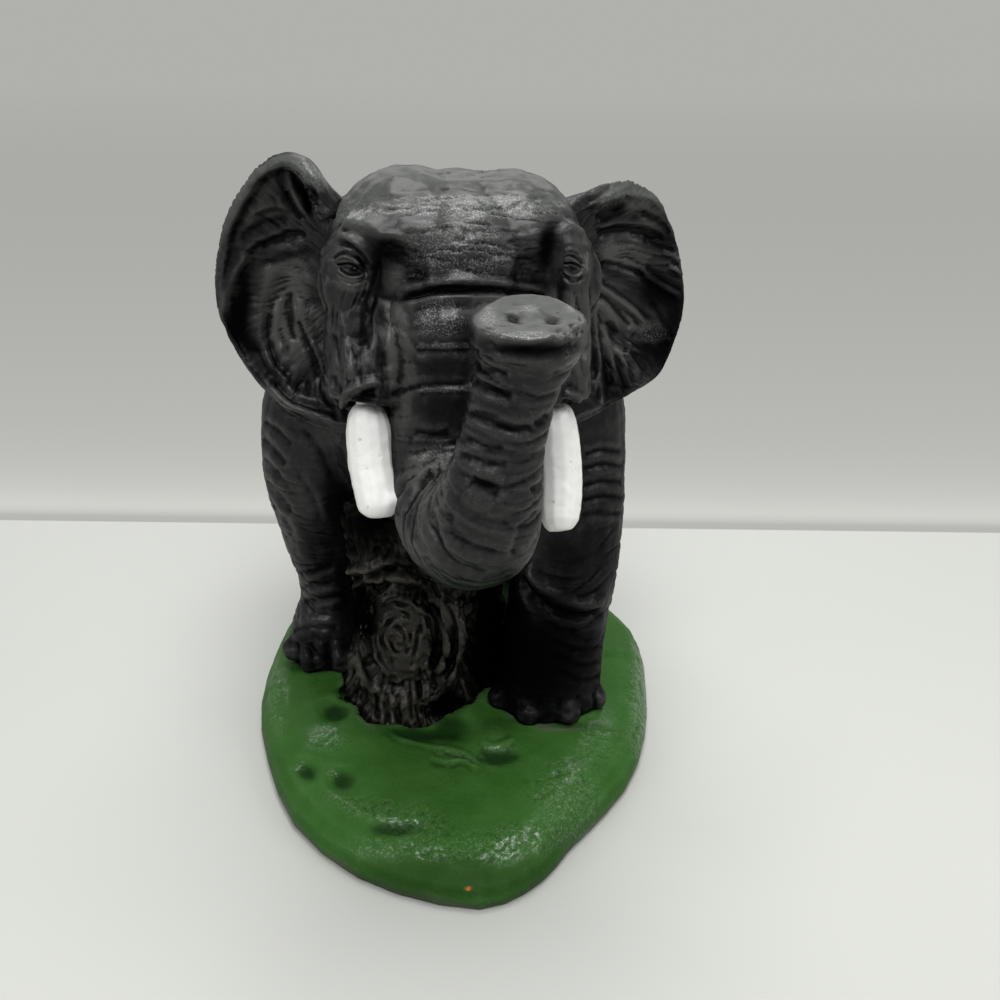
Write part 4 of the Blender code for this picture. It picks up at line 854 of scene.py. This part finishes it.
# Ears: the solid's sheet with its rolled rim, veins and folds sculpted from the front
ears = {
    "grain": 0.00046, "evening": 70, "thinning": 0.0004,
    "veinDepth": 0.00028, "strandDepth": 0.00012, "lumpDepth": 0.00018, "fineDepth": 0.00009,
    # shade: dark paint, and painted shade in the folds and under the rolled rims; pale: grey dry brushing; shine:
    # varnish with painted glints
    "ear_right": {
        "root": (-0.022, -0.022, 0.140), "seed": 51,
        "pushes": [
            (303, 176, 24, 18, 35, 1.5, 2.4), (230, 224, 13, 30, 25, -1.0, 0.2), (282, 160, 22, 10, 20, 0.4, 0.9),
        ],
        "strokes": [
            (1.4, 0.7, 296, 157, 266, 166, 244, 192, 227, 220, 221, 250, 219, 280, 221, 308),
            (1.4, -0.4, 306, 176, 274, 180, 252, 206, 241, 228, 233, 246),
            (1.3, 0.9, 250, 251, 236, 271, 226, 293, 222, 314),
            (3.0, -0.55, 252, 262, 243, 285, 238, 312, 242, 340, 254, 364),
            (2.4, 1.1, 312, 252, 290, 254, 272, 268, 262, 292, 258, 322, 262, 352),
            (0.9, 0.8, 309, 217, 300, 204, 293, 190, 286, 170), (0.8, -0.7, 304, 222, 294, 208, 286, 192),
            (0.9, 0.5, 295, 210, 272, 206, 248, 214), (0.9, -0.5, 290, 222, 262, 226, 240, 242),
            (0.9, 0.5, 286, 232, 260, 240, 238, 258), (0.9, -0.6, 306, 236, 284, 238, 262, 250),
            (0.9, -0.7, 290, 290, 288, 315, 296, 342), (0.9, 0.5, 280, 296, 276, 325, 284, 356),
            (0.8, 0.6, 300, 296, 304, 322, 314, 350), (0.9, -0.6, 270, 310, 268, 338, 280, 370),
            (0.8, -0.6, 297, 318, 308, 345, 320, 372), (0.9, 0.5, 262, 340, 272, 365, 290, 384),
            (0.9, 0.8, 268, 383, 284, 402, 302, 411, 322, 416, 337, 422),
            (0.9, -0.7, 272, 378, 288, 395, 306, 403, 324, 408), (0.8, 0.6, 309, 302, 317, 356, 331, 387, 343, 424),
        ],
        "dabs": [
            (309, 199, 6, 14, 0, -1.4), (290, 330, 26, 44, 10, 0.9), (312, 178, 20, 8, 38, 0.9),
            (243, 320, 11, 34, 5, -0.25), (300, 385, 14, 8, 20, -0.6),
        ],
        "shade": [
            (240, 308, 13, 46, 8, 0.97), (250, 346, 12, 30, -22, 0.9), (264, 374, 10, 14, -40, 0.75),
            (309, 201, 7, 14, 0, 1.0), (262, 180, 15, 5, -35, 0.6), (236, 226, 6, 28, 28, 0.55),
            (284, 256, 24, 5, -14, 0.8), (310, 386, 10, 5, 20, 0.7), (281, 372, 9, 8, 20, 0.5),
            (292, 316, 3, 16, 0, 0.8), (262, 226, 22, 10, -20, 0.4), (326, 402, 10, 8, 0, 0.6),
        ],
        "pale": [
            (236, 281, 8, 34, 26, 1.0), (287, 306, 28, 52, 0, 0.85), (296, 350, 22, 26, 0, 0.45),
            (264, 214, 30, 26, -30, 0.5), (228, 222, 9, 36, 20, 0.75), (256, 180, 10, 30, 42, 0.9),
            (296, 164, 26, 9, 18, 0.95), (314, 176, 24, 9, 38, 0.9), (298, 204, 5, 18, -28, 1.0),
            (290, 400, 28, 6, 30, 0.9), (328, 352, 8, 46, -12, 1.0), (284, 268, 22, 14, 0, 0.6),
        ],
        "shine": [
            (312, 175, 24, 8, 38, 1.0), (268, 266, 3, 4, 0, 0.6),
        ],
    },
    "ear_left": {
        "root": (0.030, -0.016, 0.140), "seed": 61,
        "pushes": [
            (680, 306, 16, 40, 0, 0.9, 0.0), (656, 372, 26, 20, -45, 1.5, -1.3),
        ],
        "strokes": [
            (1.6, 0.7, 588, 200, 612, 186, 636, 180, 655, 186, 668, 214),
            (0.8, 0.6, 633, 186, 616, 192, 602, 201, 592, 210), (0.9, -1.0, 632, 198, 612, 210, 596, 222),
            (0.8, 0.5, 594, 228, 620, 222, 652, 224), (1.0, -0.7, 596, 236, 626, 232, 668, 240),
            (1.8, 0.9, 597, 252, 622, 246, 640, 248, 652, 262), (0.8, -0.9, 600, 264, 622, 268, 646, 276),
            (0.8, 0.9, 640, 268, 655, 282, 668, 290, 683, 298), (0.6, 0.6, 662, 252, 672, 256, 682, 262),
            (0.6, 0.6, 668, 266, 676, 270, 683, 276), (0.8, 0.9, 595, 284, 616, 298, 634, 312, 648, 326),
            (0.8, -0.6, 598, 292, 616, 310, 632, 328), (1.6, 0.8, 599, 298, 614, 322, 634, 336),
            (0.8, -0.6, 606, 320, 618, 340, 630, 352), (0.7, 0.6, 626, 350, 634, 362, 642, 374),
            (0.8, -0.6, 600, 330, 606, 356, 612, 384), (0.8, 0.5, 598, 350, 601, 376, 603, 402),
            (0.7, -0.5, 616, 352, 622, 370, 628, 388), (0.8, -0.4, 650, 300, 662, 318, 672, 340),
            (0.8, 0.7, 590, 425, 607, 415, 622, 404), (0.7, 0.6, 592, 290, 596, 322, 599, 356, 597, 385),
            (0.8, -0.5, 640, 214, 656, 222, 672, 236), (0.8, -0.4, 644, 240, 660, 248, 676, 252),
        ],
        "dabs": [
            (662, 330, 16, 40, 0, -0.8), (618, 300, 18, 20, 30, 0.5), (620, 190, 24, 8, -15, 0.6),
            (655, 232, 16, 12, 0, -0.5),
        ],
        "shade": [
            (659, 240, 22, 11, 0, 0.7), (656, 290, 24, 22, 30, 0.9), (672, 330, 14, 50, 10, 0.85),
            (652, 352, 22, 26, 20, 0.9), (618, 384, 22, 20, 0, 0.85), (616, 208, 10, 6, -25, 1.0),
            (610, 218, 18, 3, -25, 0.8), (612, 272, 16, 4, 12, 0.6), (600, 262, 5, 8, 0, 0.6),
            (606, 372, 3, 26, 0, 0.6),
        ],
        "pale": [
            (624, 257, 28, 13, 8, 1.0), (618, 308, 14, 38, -50, 1.0), (602, 322, 9, 34, 0, 0.85),
            (630, 196, 36, 16, -12, 1.0), (608, 346, 12, 18, -30, 0.5), (600, 300, 6, 30, 0, 0.8),
            (656, 216, 16, 20, 0, 0.5), (618, 284, 16, 9, 0, 0.35), (632, 364, 3, 14, -35, 0.9),
            (620, 350, 4, 18, -25, 0.8), (666, 287, 18, 2.6, 30, 1.0), (676, 269, 8, 2.2, 38, 1.0),
            (678, 256, 6, 2.0, 38, 1.0), (604, 417, 20, 4, -24, 1.0), (630, 230, 36, 8, 4, 0.4),
        ],
        "shine": [
            (612, 200, 22, 8, -22, 1.0), (652, 332, 14, 10, 0, 0.5), (660, 190, 12, 8, 30, 0.4),
            (618, 246, 22, 3, 5, 0.5),
        ],
    },
}


def fanOf(points, root, seed):
    # angle about the ear's root, distance from it, and streaks that run outwards from it
    offset = points - np.array(root)
    turn = np.arctan2(offset[:, 2], np.hypot(offset[:, 0], offset[:, 1]) * np.sign(offset[:, 0] * root[0]))
    reach = np.linalg.norm(offset, axis=1)
    drift = 0.7 * noise(points * 70, seed + 5)
    return reach, np.column_stack([turn * 6 + drift, reach * 60, np.zeros(len(turn))])


def makeEar(name):
    ear, root, seed = ears[name], ears[name]["root"], ears[name]["seed"]
    obj = reskin(copied(name + "Piece", name), ears["grain"], ears["evening"])
    writePoints(obj, pushed(readPoints(obj), ear["pushes"]))
    points, normals, view = survey(obj)
    moved = carve(view, ear["strokes"]) + dab(view, ear["dabs"])
    reach, fan = fanOf(points, root, seed)
    away = smooth(0.006, 0.016, reach) * smooth(0.15, 0.5, np.abs(view[2]))
    veins = lines(noise(fan + 5, seed), 0.14) + 0.5 * lines(noise(fan * (2.4, 1.6, 0), seed + 1), 0.16)
    moved -= ears["veinDepth"] * veins * away * smooth(-0.4, 0.4, noise(points * 60, seed + 6))
    moved += ears["strandDepth"] * away * noise(fan * (5, 1.5, 0), seed + 7)
    moved += ears["lumpDepth"] * noise(points * 90, seed + 2) + ears["fineDepth"] * noise(points * 420, seed + 3)
    moved -= ears["thinning"] * away
    swell(obj, points, normals, moved)
    obj = keepBiggest(obj)
    paintMasks(obj)
    points, _, view = survey(obj)
    streaks = noise(fanOf(points, root, seed)[1] * (4.0, 0.8, 0), seed + 8)
    setMask(obj, "shade", blot(view, points, ear["shade"]))
    setMask(obj, "pale", brushedOver(blot(view, points, ear["pale"]), streaks, 0.45))
    setMask(obj, "shine", blot(view, points, ear["shine"]))
    finished(obj, [name], "hide")


makeEar("ear_right")
makeEar("ear_left")


# Tusks: smooth, with pinholes, a rounded upper end and a drip of paint on one of them
tusks = {
    "grain": 0.00032, "evening": 60, "domeFoot": 0.0195, "domeTop": 0.0118, "domeShare": 0.50,
    "lumpDepth": 0.00028, "fineDepth": 0.00009, "pitDepth": 0.00035, "drip": (395, 499, 6, 7, 0, 1.0),
}


def domed(points):
    # the upper end drawn in, so that it comes out of the lip rounded
    middle = points.mean(0)
    axis = np.linalg.svd(points - middle, full_matrices=False)[2][0]
    axis *= np.sign(axis[2])
    height = (points - middle) @ axis
    line = middle + height[:, None] * axis
    up = np.clip((height - height.max() + tusks["domeFoot"]) / (tusks["domeFoot"] - tusks["domeTop"]), 0, 1)
    wide = 1 - tusks["domeShare"] * (1 - np.sqrt(1 - up**2))
    return line + (points - line) * wide[:, None]


def makeTusk(name, seed):
    obj = reskin(copied(name + "Piece", name), tusks["grain"], tusks["evening"])
    points = domed(readPoints(obj))
    writePoints(obj, points)
    normals = readNormals(obj)
    moved = tusks["lumpDepth"] * noise(points * 120, seed) + tusks["fineDepth"] * noise(points * 480, seed + 1)
    moved -= tusks["pitDepth"] * smooth(0.60, 0.85, noise(points * 700, seed + 2))
    if name == "tusk_right":
        moved += dab(viewOf(points, normals), [tusks["drip"]])
    swell(obj, points, normals, moved)
    paintMasks(obj)
    finished(keepBiggest(obj), [name], "ivory")


makeTusk("tusk_left", 71)
makeTusk("tusk_right", 81)


# Tail: rings above, and long hair in the tuft
tail = {
    "grain": 0.00038, "evening": 40,
    "tuftTop": 0.086, "tuftStart": 0.010, "tuftDepth": 0.00035, "ringDepth": 0.00020,
}


def makeTail():
    obj = reskin(copied("tailPiece", "tail"), tail["grain"], tail["evening"])
    points, normals = readPoints(obj), readNormals(obj)
    tuft = smooth(tail["tuftTop"], tail["tuftTop"] - tail["tuftStart"], points[:, 2])
    moved = -tail["tuftDepth"] * tuft * lines(noise(points * (600, 600, 50), 91), 0.3)
    moved -= tail["ringDepth"] * (1 - tuft) * lines(noise(points * (100, 100, 420), 92), 0.2)
    swell(obj, points, normals, moved)
    paintMasks(obj)
    finished(keepBiggest(obj), ["tail"], "hide")


makeTail()


# Stump: bark, and the sawn branch with its rings, ragged lip and dark hollow
stump = {
    "grain": 0.00044, "evening": 14, "face": (400, 639, 31.0, 49.0, 0), "axis": (-0.0135, -0.004),
    "barkDepth": 0.0010, "ringDepth": 0.00060, "splinterDepth": 0.0005, "fineDepth": 0.00014,
    # lumps from broad to fine: scale, seed, height, and how much higher they are on the crown
    "lumps": [(130, 103, 0.0009, 0.0010), (300, 109, 0.00055, 0.0005), (520, 111, 0.0003, 0.0)],
    "pushes": [
        (348, 704, 16, 20, 20, 2.4, -0.6), (468, 712, 18, 14, -20, -2.2, -0.4), (500, 598, 9, 26, 0, 2.2, 0.0),
    ],
    "strokes": [
        (1.2, 1.2, 342, 574, 366, 568, 394, 560), (1.0, -1.4, 340, 583, 366, 577, 396, 569, 420, 572),
        (1.2, 1.3, 347, 590, 369, 580, 401, 576, 425, 586, 438, 606),
        (1.3, 1.0, 436, 592, 446, 618, 447, 648, 438, 676), (1.1, 0.9, 452, 596, 461, 622, 460, 654, 448, 684),
        (1.0, -1.3, 429, 600, 437, 622, 438, 650, 430, 676), (0.9, -1.1, 444, 598, 453, 620, 453, 652, 443, 682),
        (1.6, 1.0, 349, 650, 356, 668, 368, 686, 384, 694), (1.2, 0.8, 352, 640, 362, 652, 374, 664),
        (0.7, -1.0, 377, 690, 376, 704, 378, 722), (0.7, -1.0, 387, 692, 388, 706, 388, 726),
        (0.7, -1.0, 398, 692, 398, 708, 400, 727), (0.7, -1.0, 409, 690, 410, 706, 411, 725),
        (0.7, -0.9, 419, 686, 421, 702, 421, 718),
    ],
    "dabs": [
        (362, 618, 14, 23, 5, -2.6), (441, 707, 16, 12, -15, -3.2), (398, 640, 8, 11, 0, 0.5),
        (366, 672, 5, 14, -20, -1.2), (364, 562, 24, 9, -18, 0.8), (352, 545, 9, 9, 0, -1.2),
        (384, 536, 10, 8, 0, 1.3), (362, 526, 9, 7, 0, 1.2), (398, 704, 24, 16, 0, 0.8), (360, 676, 14, 14, 30, 0.6),
    ],
    # shade: painted shadow in the hollow, on the top under the belly, between the stump and the right leg and in
    # dents at its foot
    "shade": [
        (362, 617, 21, 33, 5, 1.0), (360, 606, 17, 22, 0, 1.0), (443, 708, 19, 15, -15, 1.0),
        (372, 524, 50, 26, 0, 0.97), (482, 650, 18, 66, 0, 1.0), (367, 673, 4, 16, -20, 0.9),
        (345, 706, 9, 14, 20, 0.9), (352, 548, 20, 10, 0, 0.7), (420, 592, 26, 8, 15, 0.8),
        (452, 700, 16, 20, 0, 0.8), (494, 620, 20, 70, 0, 0.99), (400, 560, 40, 8, 15, 0.7),
        (434, 640, 5, 34, 0, 0.7), (352, 560, 14, 10, 0, 0.5),
    ],
    "pale": [
        (408, 640, 22, 34, 0, 0.6), (398, 708, 24, 18, 0, 0.9), (366, 572, 28, 8, -15, 0.8),
        (357, 668, 7, 30, -38, 0.9), (452, 640, 8, 34, 0, 0.45),
    ],
}


def makeStump():
    obj = reskin(copied("stumpPiece", "stump"), stump["grain"], stump["evening"])
    writePoints(obj, pushed(readPoints(obj), stump["pushes"]))
    points, normals, view = survey(obj)
    pixels, _, front = view
    across, down = turned(pixels, *stump["face"])
    out = np.hypot(across, down)
    ragged = out + 0.06 * noise(points * 260, 107)
    onFace = smooth(0.98, 0.86, ragged) * smooth(0.5, 0.75, front) * smooth(-0.017, -0.021, points[:, 1])
    turn = np.arctan2(points[:, 0] - stump["axis"][0], points[:, 1] - stump["axis"][1])
    bark = np.column_stack([turn * 4.2 + 0.5 * noise(points * 60, 108), points[:, 2] * 60, np.zeros(len(turn))])
    ridges = lines(noise(bark + 2, 101), 0.20) + 0.6 * lines(noise(bark * (2.3, 2.4, 0), 102), 0.22)
    crown = smooth(0.050, 0.058, points[:, 2])
    lumps = sum((low + more * crown) * noise(points * scale, seed) for scale, seed, low, more in stump["lumps"])
    moved = (1 - onFace) * (lumps - (1 - 0.75 * crown) * stump["barkDepth"] * ridges)
    rings = np.sin(out * 27 + 4.2 * noise(points * 150, 104) + np.arctan2(down, across))
    broken = smooth(-0.2, 0.4, noise(points * 300, 110))
    moved += onFace * (stump["ringDepth"] * rings * broken + stump["splinterDepth"] * noise(points * 330, 105))
    moved += carve(view, stump["strokes"]) + dab(view, stump["dabs"]) + stump["fineDepth"] * noise(points * 700, 106)
    swell(obj, points, normals, moved)
    obj = keepBiggest(obj)
    paintMasks(obj, depth=(0.00010, 0.00055))
    points, _, view = survey(obj)
    for mask in ("shade", "pale"):
        setMask(obj, mask, blot(view, points, stump[mask]))
    finished(obj, ["stump"], "bark")


makeStump()


# Base: grass-green mound with dents, a stippled front and a worn lower edge
base = {
    "grain": 0.00066, "evening": 30, "lumpDepth": 0.00034, "fineDepth": 0.00012, "stippleDepth": 0.00026,
    "wornHeight": 0.0042, "wornShare": 0.8,
    "dabs": [
        (306, 771, 12, 10, 0, -1.7), (341, 779, 13, 10, 0, -1.6), (304, 757, 12, 4, 0, 0.4),
        (340, 765, 13, 4, 0, 0.4), (336, 712, 13, 8, -10, -2.2), (332, 699, 16, 6, 0, 0.7), (344, 691, 8, 5, 0, -1.0),
        (498, 735, 20, 12, 0, 1.5), (498, 757, 20, 7, 0, -2.2), (395, 829, 24, 7, 0, -1.5), (388, 819, 18, 4, 0, 0.6),
        (349, 706, 15, 11, 20, 2.2), (466, 714, 12, 9, 0, 1.6), (648, 700, 10, 16, 0, -0.7),
        (640, 760, 12, 14, 0, 0.7), (262, 700, 10, 18, 0, -0.6), (478, 694, 18, 10, 0, 1.6),
        (430, 738, 24, 7, 0, -0.8), (610, 758, 24, 15, 0, -0.8), (556, 858, 10, 26, 20, -0.6),
        (270, 690, 16, 24, 0, 0.5), (600, 655, 20, 6, 0, -0.5), (345, 735, 20, 12, 0, 0.6),
        (560, 800, 22, 24, 0, 0.5), (420, 733, 40, 4, 0, -0.7),
    ],
    "strokes": [
        (0.7, 0.45, 384, 728, 402, 738, 430, 745, 452, 750, 470, 757, 484, 766),
        (0.7, 0.6, 427, 757, 447, 762, 465, 760, 478, 770), (0.6, -0.5, 440, 752, 460, 756, 476, 764),
        (0.7, 0.6, 480, 742, 492, 748, 504, 746, 516, 741),
    ],
    # shade: painted shade between the legs, in the dents and hollows and along the lower front
    "shade": [
        (505, 600, 18, 50, 0, 1.0), (450, 880, 130, 26, 0, 0.5), (575, 842, 40, 22, -40, 0.3),
        (337, 712, 13, 8, -10, 0.75), (309, 773, 9, 8, 0, 0.6), (345, 781, 10, 8, 0, 0.6), (498, 757, 22, 7, 0, 0.8),
        (424, 735, 42, 7, 6, 0.9), (308, 668, 26, 5, 5, 0.7), (395, 829, 24, 8, 0, 0.6), (450, 728, 18, 11, 0, 0.8),
        (496, 727, 18, 12, 0, 0.4), (344, 691, 9, 5, 0, 0.6), (560, 724, 52, 5, 6, 0.5),
    ],
    "pale": [
        (358, 706, 6, 26, -32, 0.75), (532, 722, 26, 2.6, 14, 0.8), (500, 704, 12, 3, 35, 0.6),
        (560, 729, 24, 2.2, 0, 0.6), (598, 722, 12, 2.2, 0, 0.5),
    ],
    # shine: varnished zones with painted glints, which also raise the stipple
    "shine": [
        (330, 738, 22, 14, 0, 0.8), (565, 795, 34, 36, 15, 1.0), (520, 840, 70, 18, -12, 1.0),
        (390, 812, 70, 14, 12, 0.9), (497, 748, 16, 3, 0, 0.8), (474, 690, 16, 9, 0, 0.8), (299, 765, 6, 5, 0, 1.0),
        (333, 775, 6, 5, 0, 1.0), (640, 700, 14, 60, 0, 1.0), (600, 740, 30, 30, 0, 0.5), (440, 846, 90, 14, 0, 0.8),
        (278, 700, 10, 40, 0, 0.6), (455, 755, 26, 8, 15, 0.7),
    ],
    "chip": [
        (468, 889, 2.6, 2.2, 0, 1.0),
    ],
}


def makeBase():
    obj = reskin(copied("basePiece", "base"), base["grain"], base["evening"])
    points, normals, view = survey(obj)
    top = smooth(0.002, 0.006, points[:, 2])
    moved = top * (dab(view, base["dabs"]) + carve(view, base["strokes"]))
    moved += top * (base["lumpDepth"] * noise(points * 55, 111) + base["fineDepth"] * noise(points * 220, 112))
    stipple = np.clip(0.35 * smooth(-0.1, 0.6, noise(points * 42, 113)) + blot(view, points, base["shine"]), 0, 1)
    moved += top * base["stippleDepth"] * stipple * noise(points * 560, 114)
    swell(obj, points, normals, moved)
    obj = keepBiggest(obj)
    paintMasks(obj)
    points, _, view = survey(obj)
    lowEdge = smooth(base["wornHeight"], 0.001, points[:, 2] + 0.0022 * noise(points * 90, 115))
    setMask(obj, "pale", np.maximum(base["wornShare"] * lowEdge, blot(view, points, base["pale"])))
    for mask in ("shade", "shine", "chip"):
        setMask(obj, mask, blot(view, points, base[mask]))
    finished(obj, ["base"], "grass")


makeBase()


# Studio: a pale shelf with a plain wall behind it, and soft light from above
studio = {
    "floor": (0.475, 0.482, 0.453), "across": 14.0,
    "wallStart": 0.122, "wallTilt": 0.07, "wallReach": 1.3, "wallEdge": 1200.0, "farStart": 0.7, "farReach": 1.2,
    # the wall's brightness by distance behind the shelf's far edge, as a share of wallReach: a plain level that rises
    # slowly, a short and a long glow with their reaches (the rise and the glows are painted light on the wall), and a
    # dark seam with its depth and width
    "wallPlain": 0.305, "wallRise": 0.125, "wallGlows": [(0.23, 0.022), (0.21, 0.30)], "wallSeam": (0.38, 0.0073),
    "wallTint": (1.0, 1.01, 0.95), "wallStops": 25, "firstStop": 0.002, "stopRatio": 1.3,
    "world": (0.80, 0.81, 0.80), "worldStrength": 0.15, "seenStrength": 0.52,
    # place, what it faces, width and depth in metres, and power in watts
    "lamps": [
        ((0.04, 0.07, 0.80), (0, 0, 0.08), 0.55, 0.45, 5.0),
        ((0.05, -0.70, 1.10), (0, 0, 0.08), 0.80, 0.60, 9.5),
        ((0.00, 1.10, 0.80), (0, 0, 0.10), 1.60, 0.80, 6.5),
        ((-0.65, -0.35, 0.50), (0, 0, 0.08), 0.40, 0.40, 1.3),
        ((0.55, -0.25, 0.50), (0, 0, 0.08), 0.30, 0.30, 1.0),
    ],
}


def seenRays(tree):
    # one for rays that see a surface, nought for those that only light another
    light = newNode(tree, "ShaderNodeLightPath")
    seen = maths(tree, "ADD", light.outputs["Is Camera Ray"], light.outputs["Is Glossy Ray"], True)
    return maths(tree, "ADD", seen, light.outputs["Is Transmission Ray"], True)


def wallLevel(at):
    glow = sum(height * math.exp(-at / reach) for height, reach in studio["wallGlows"])
    depth, width = studio["wallSeam"]
    return (studio["wallPlain"] + studio["wallRise"] * at + glow) * (1 - depth * math.exp(-((at / width) ** 3)))


def wallRamp(tree, factor):
    # stops that lie closer together near the shelf, where the brightness changes most
    places = [0.0] + [min(1.0, studio["firstStop"] * studio["stopRatio"] ** k) for k in range(studio["wallStops"])]
    return rampOf(tree, factor, [(at, tuple(wallLevel(at) * tint for tint in studio["wallTint"])) for at in places])


def makeFloor():
    bpy.ops.object.select_all(action="DESELECT")
    bpy.ops.mesh.primitive_plane_add(size=studio["across"], location=(0.0, 0.0, -0.0001))
    floor = bpy.context.view_layer.objects.active
    floor.name = "floor"
    made = bpy.data.materials.new("floorPaint")
    made.use_nodes = True
    tree = made.node_tree
    shader = tree.nodes["Principled BSDF"]
    shader.inputs["Base Color"].default_value = (*studio["floor"], 1.0)
    shader.inputs["Roughness"].default_value = 0.6
    coord = newNode(tree, "ShaderNodeTexCoord")
    tilted = newNode(tree, "ShaderNodeVectorMath", operation="DOT_PRODUCT")
    tree.links.new(coord.outputs["Object"], tilted.inputs[0])
    tilted.inputs[1].default_value = (studio["wallTilt"], 1.0, 0.0)
    behind = maths(tree, "SUBTRACT", tilted.outputs["Value"], studio["wallStart"])
    wall = times(tree, behind, studio["wallEdge"], True)
    # far from the figure the floor is seen as plain as the wall is, whatever side it is looked at from
    reach = newNode(tree, "ShaderNodeVectorMath", operation="LENGTH")
    tree.links.new(coord.outputs["Object"], reach.inputs[0])
    far = maths(tree, "SUBTRACT", reach.outputs["Value"], studio["farStart"])
    far = times(tree, far, 1.0 / studio["farReach"], True)
    wall = maths(tree, "MAXIMUM", wall, far)
    seen = seenRays(tree)
    plain = newNode(tree, "ShaderNodeEmission")
    reached = maths(tree, "DIVIDE", maths(tree, "MAXIMUM", behind, far), studio["wallReach"], True)
    tree.links.new(wallRamp(tree, reached), plain.inputs["Color"])
    mix = newNode(tree, "ShaderNodeMixShader")
    tree.links.new(times(tree, wall, seen), mix.inputs["Fac"])
    tree.links.new(shader.outputs["BSDF"], mix.inputs[1])
    tree.links.new(plain.outputs["Emission"], mix.inputs[2])
    tree.links.new(mix.outputs["Shader"], tree.nodes["Material Output"].inputs["Surface"])
    floor.data.materials.append(made)


def makeLights():
    world = bpy.data.worlds.new("studioWorld")
    bpy.context.scene.world = world
    world.use_nodes = True
    back = world.node_tree.nodes["Background"]
    back.inputs["Color"].default_value = (*studio["world"], 1.0)
    # the sky that is seen is brighter than the one that lights
    tree = world.node_tree
    more = times(tree, seenRays(tree), studio["seenStrength"] - studio["worldStrength"])
    tree.links.new(maths(tree, "ADD", more, studio["worldStrength"]), back.inputs["Strength"])
    for i, (spot, target, wide, deep, power) in enumerate(studio["lamps"]):
        lamp = bpy.data.lights.new("softbox", "AREA")
        lamp.shape = "RECTANGLE"
        lamp.size, lamp.size_y, lamp.energy = wide, deep, power
        holder = bpy.data.objects.new("softbox%d" % i, lamp)
        bpy.context.scene.collection.objects.link(holder)
        holder.visible_camera = False
        holder.location = spot
        holder.rotation_mode = "QUATERNION"
        holder.rotation_quaternion = (Vector(target) - Vector(spot)).to_track_quat("-Z", "Y")


makeFloor()
makeLights()
print("studio ready")
bpy.context.scene.view_settings.view_transform = "Standard"
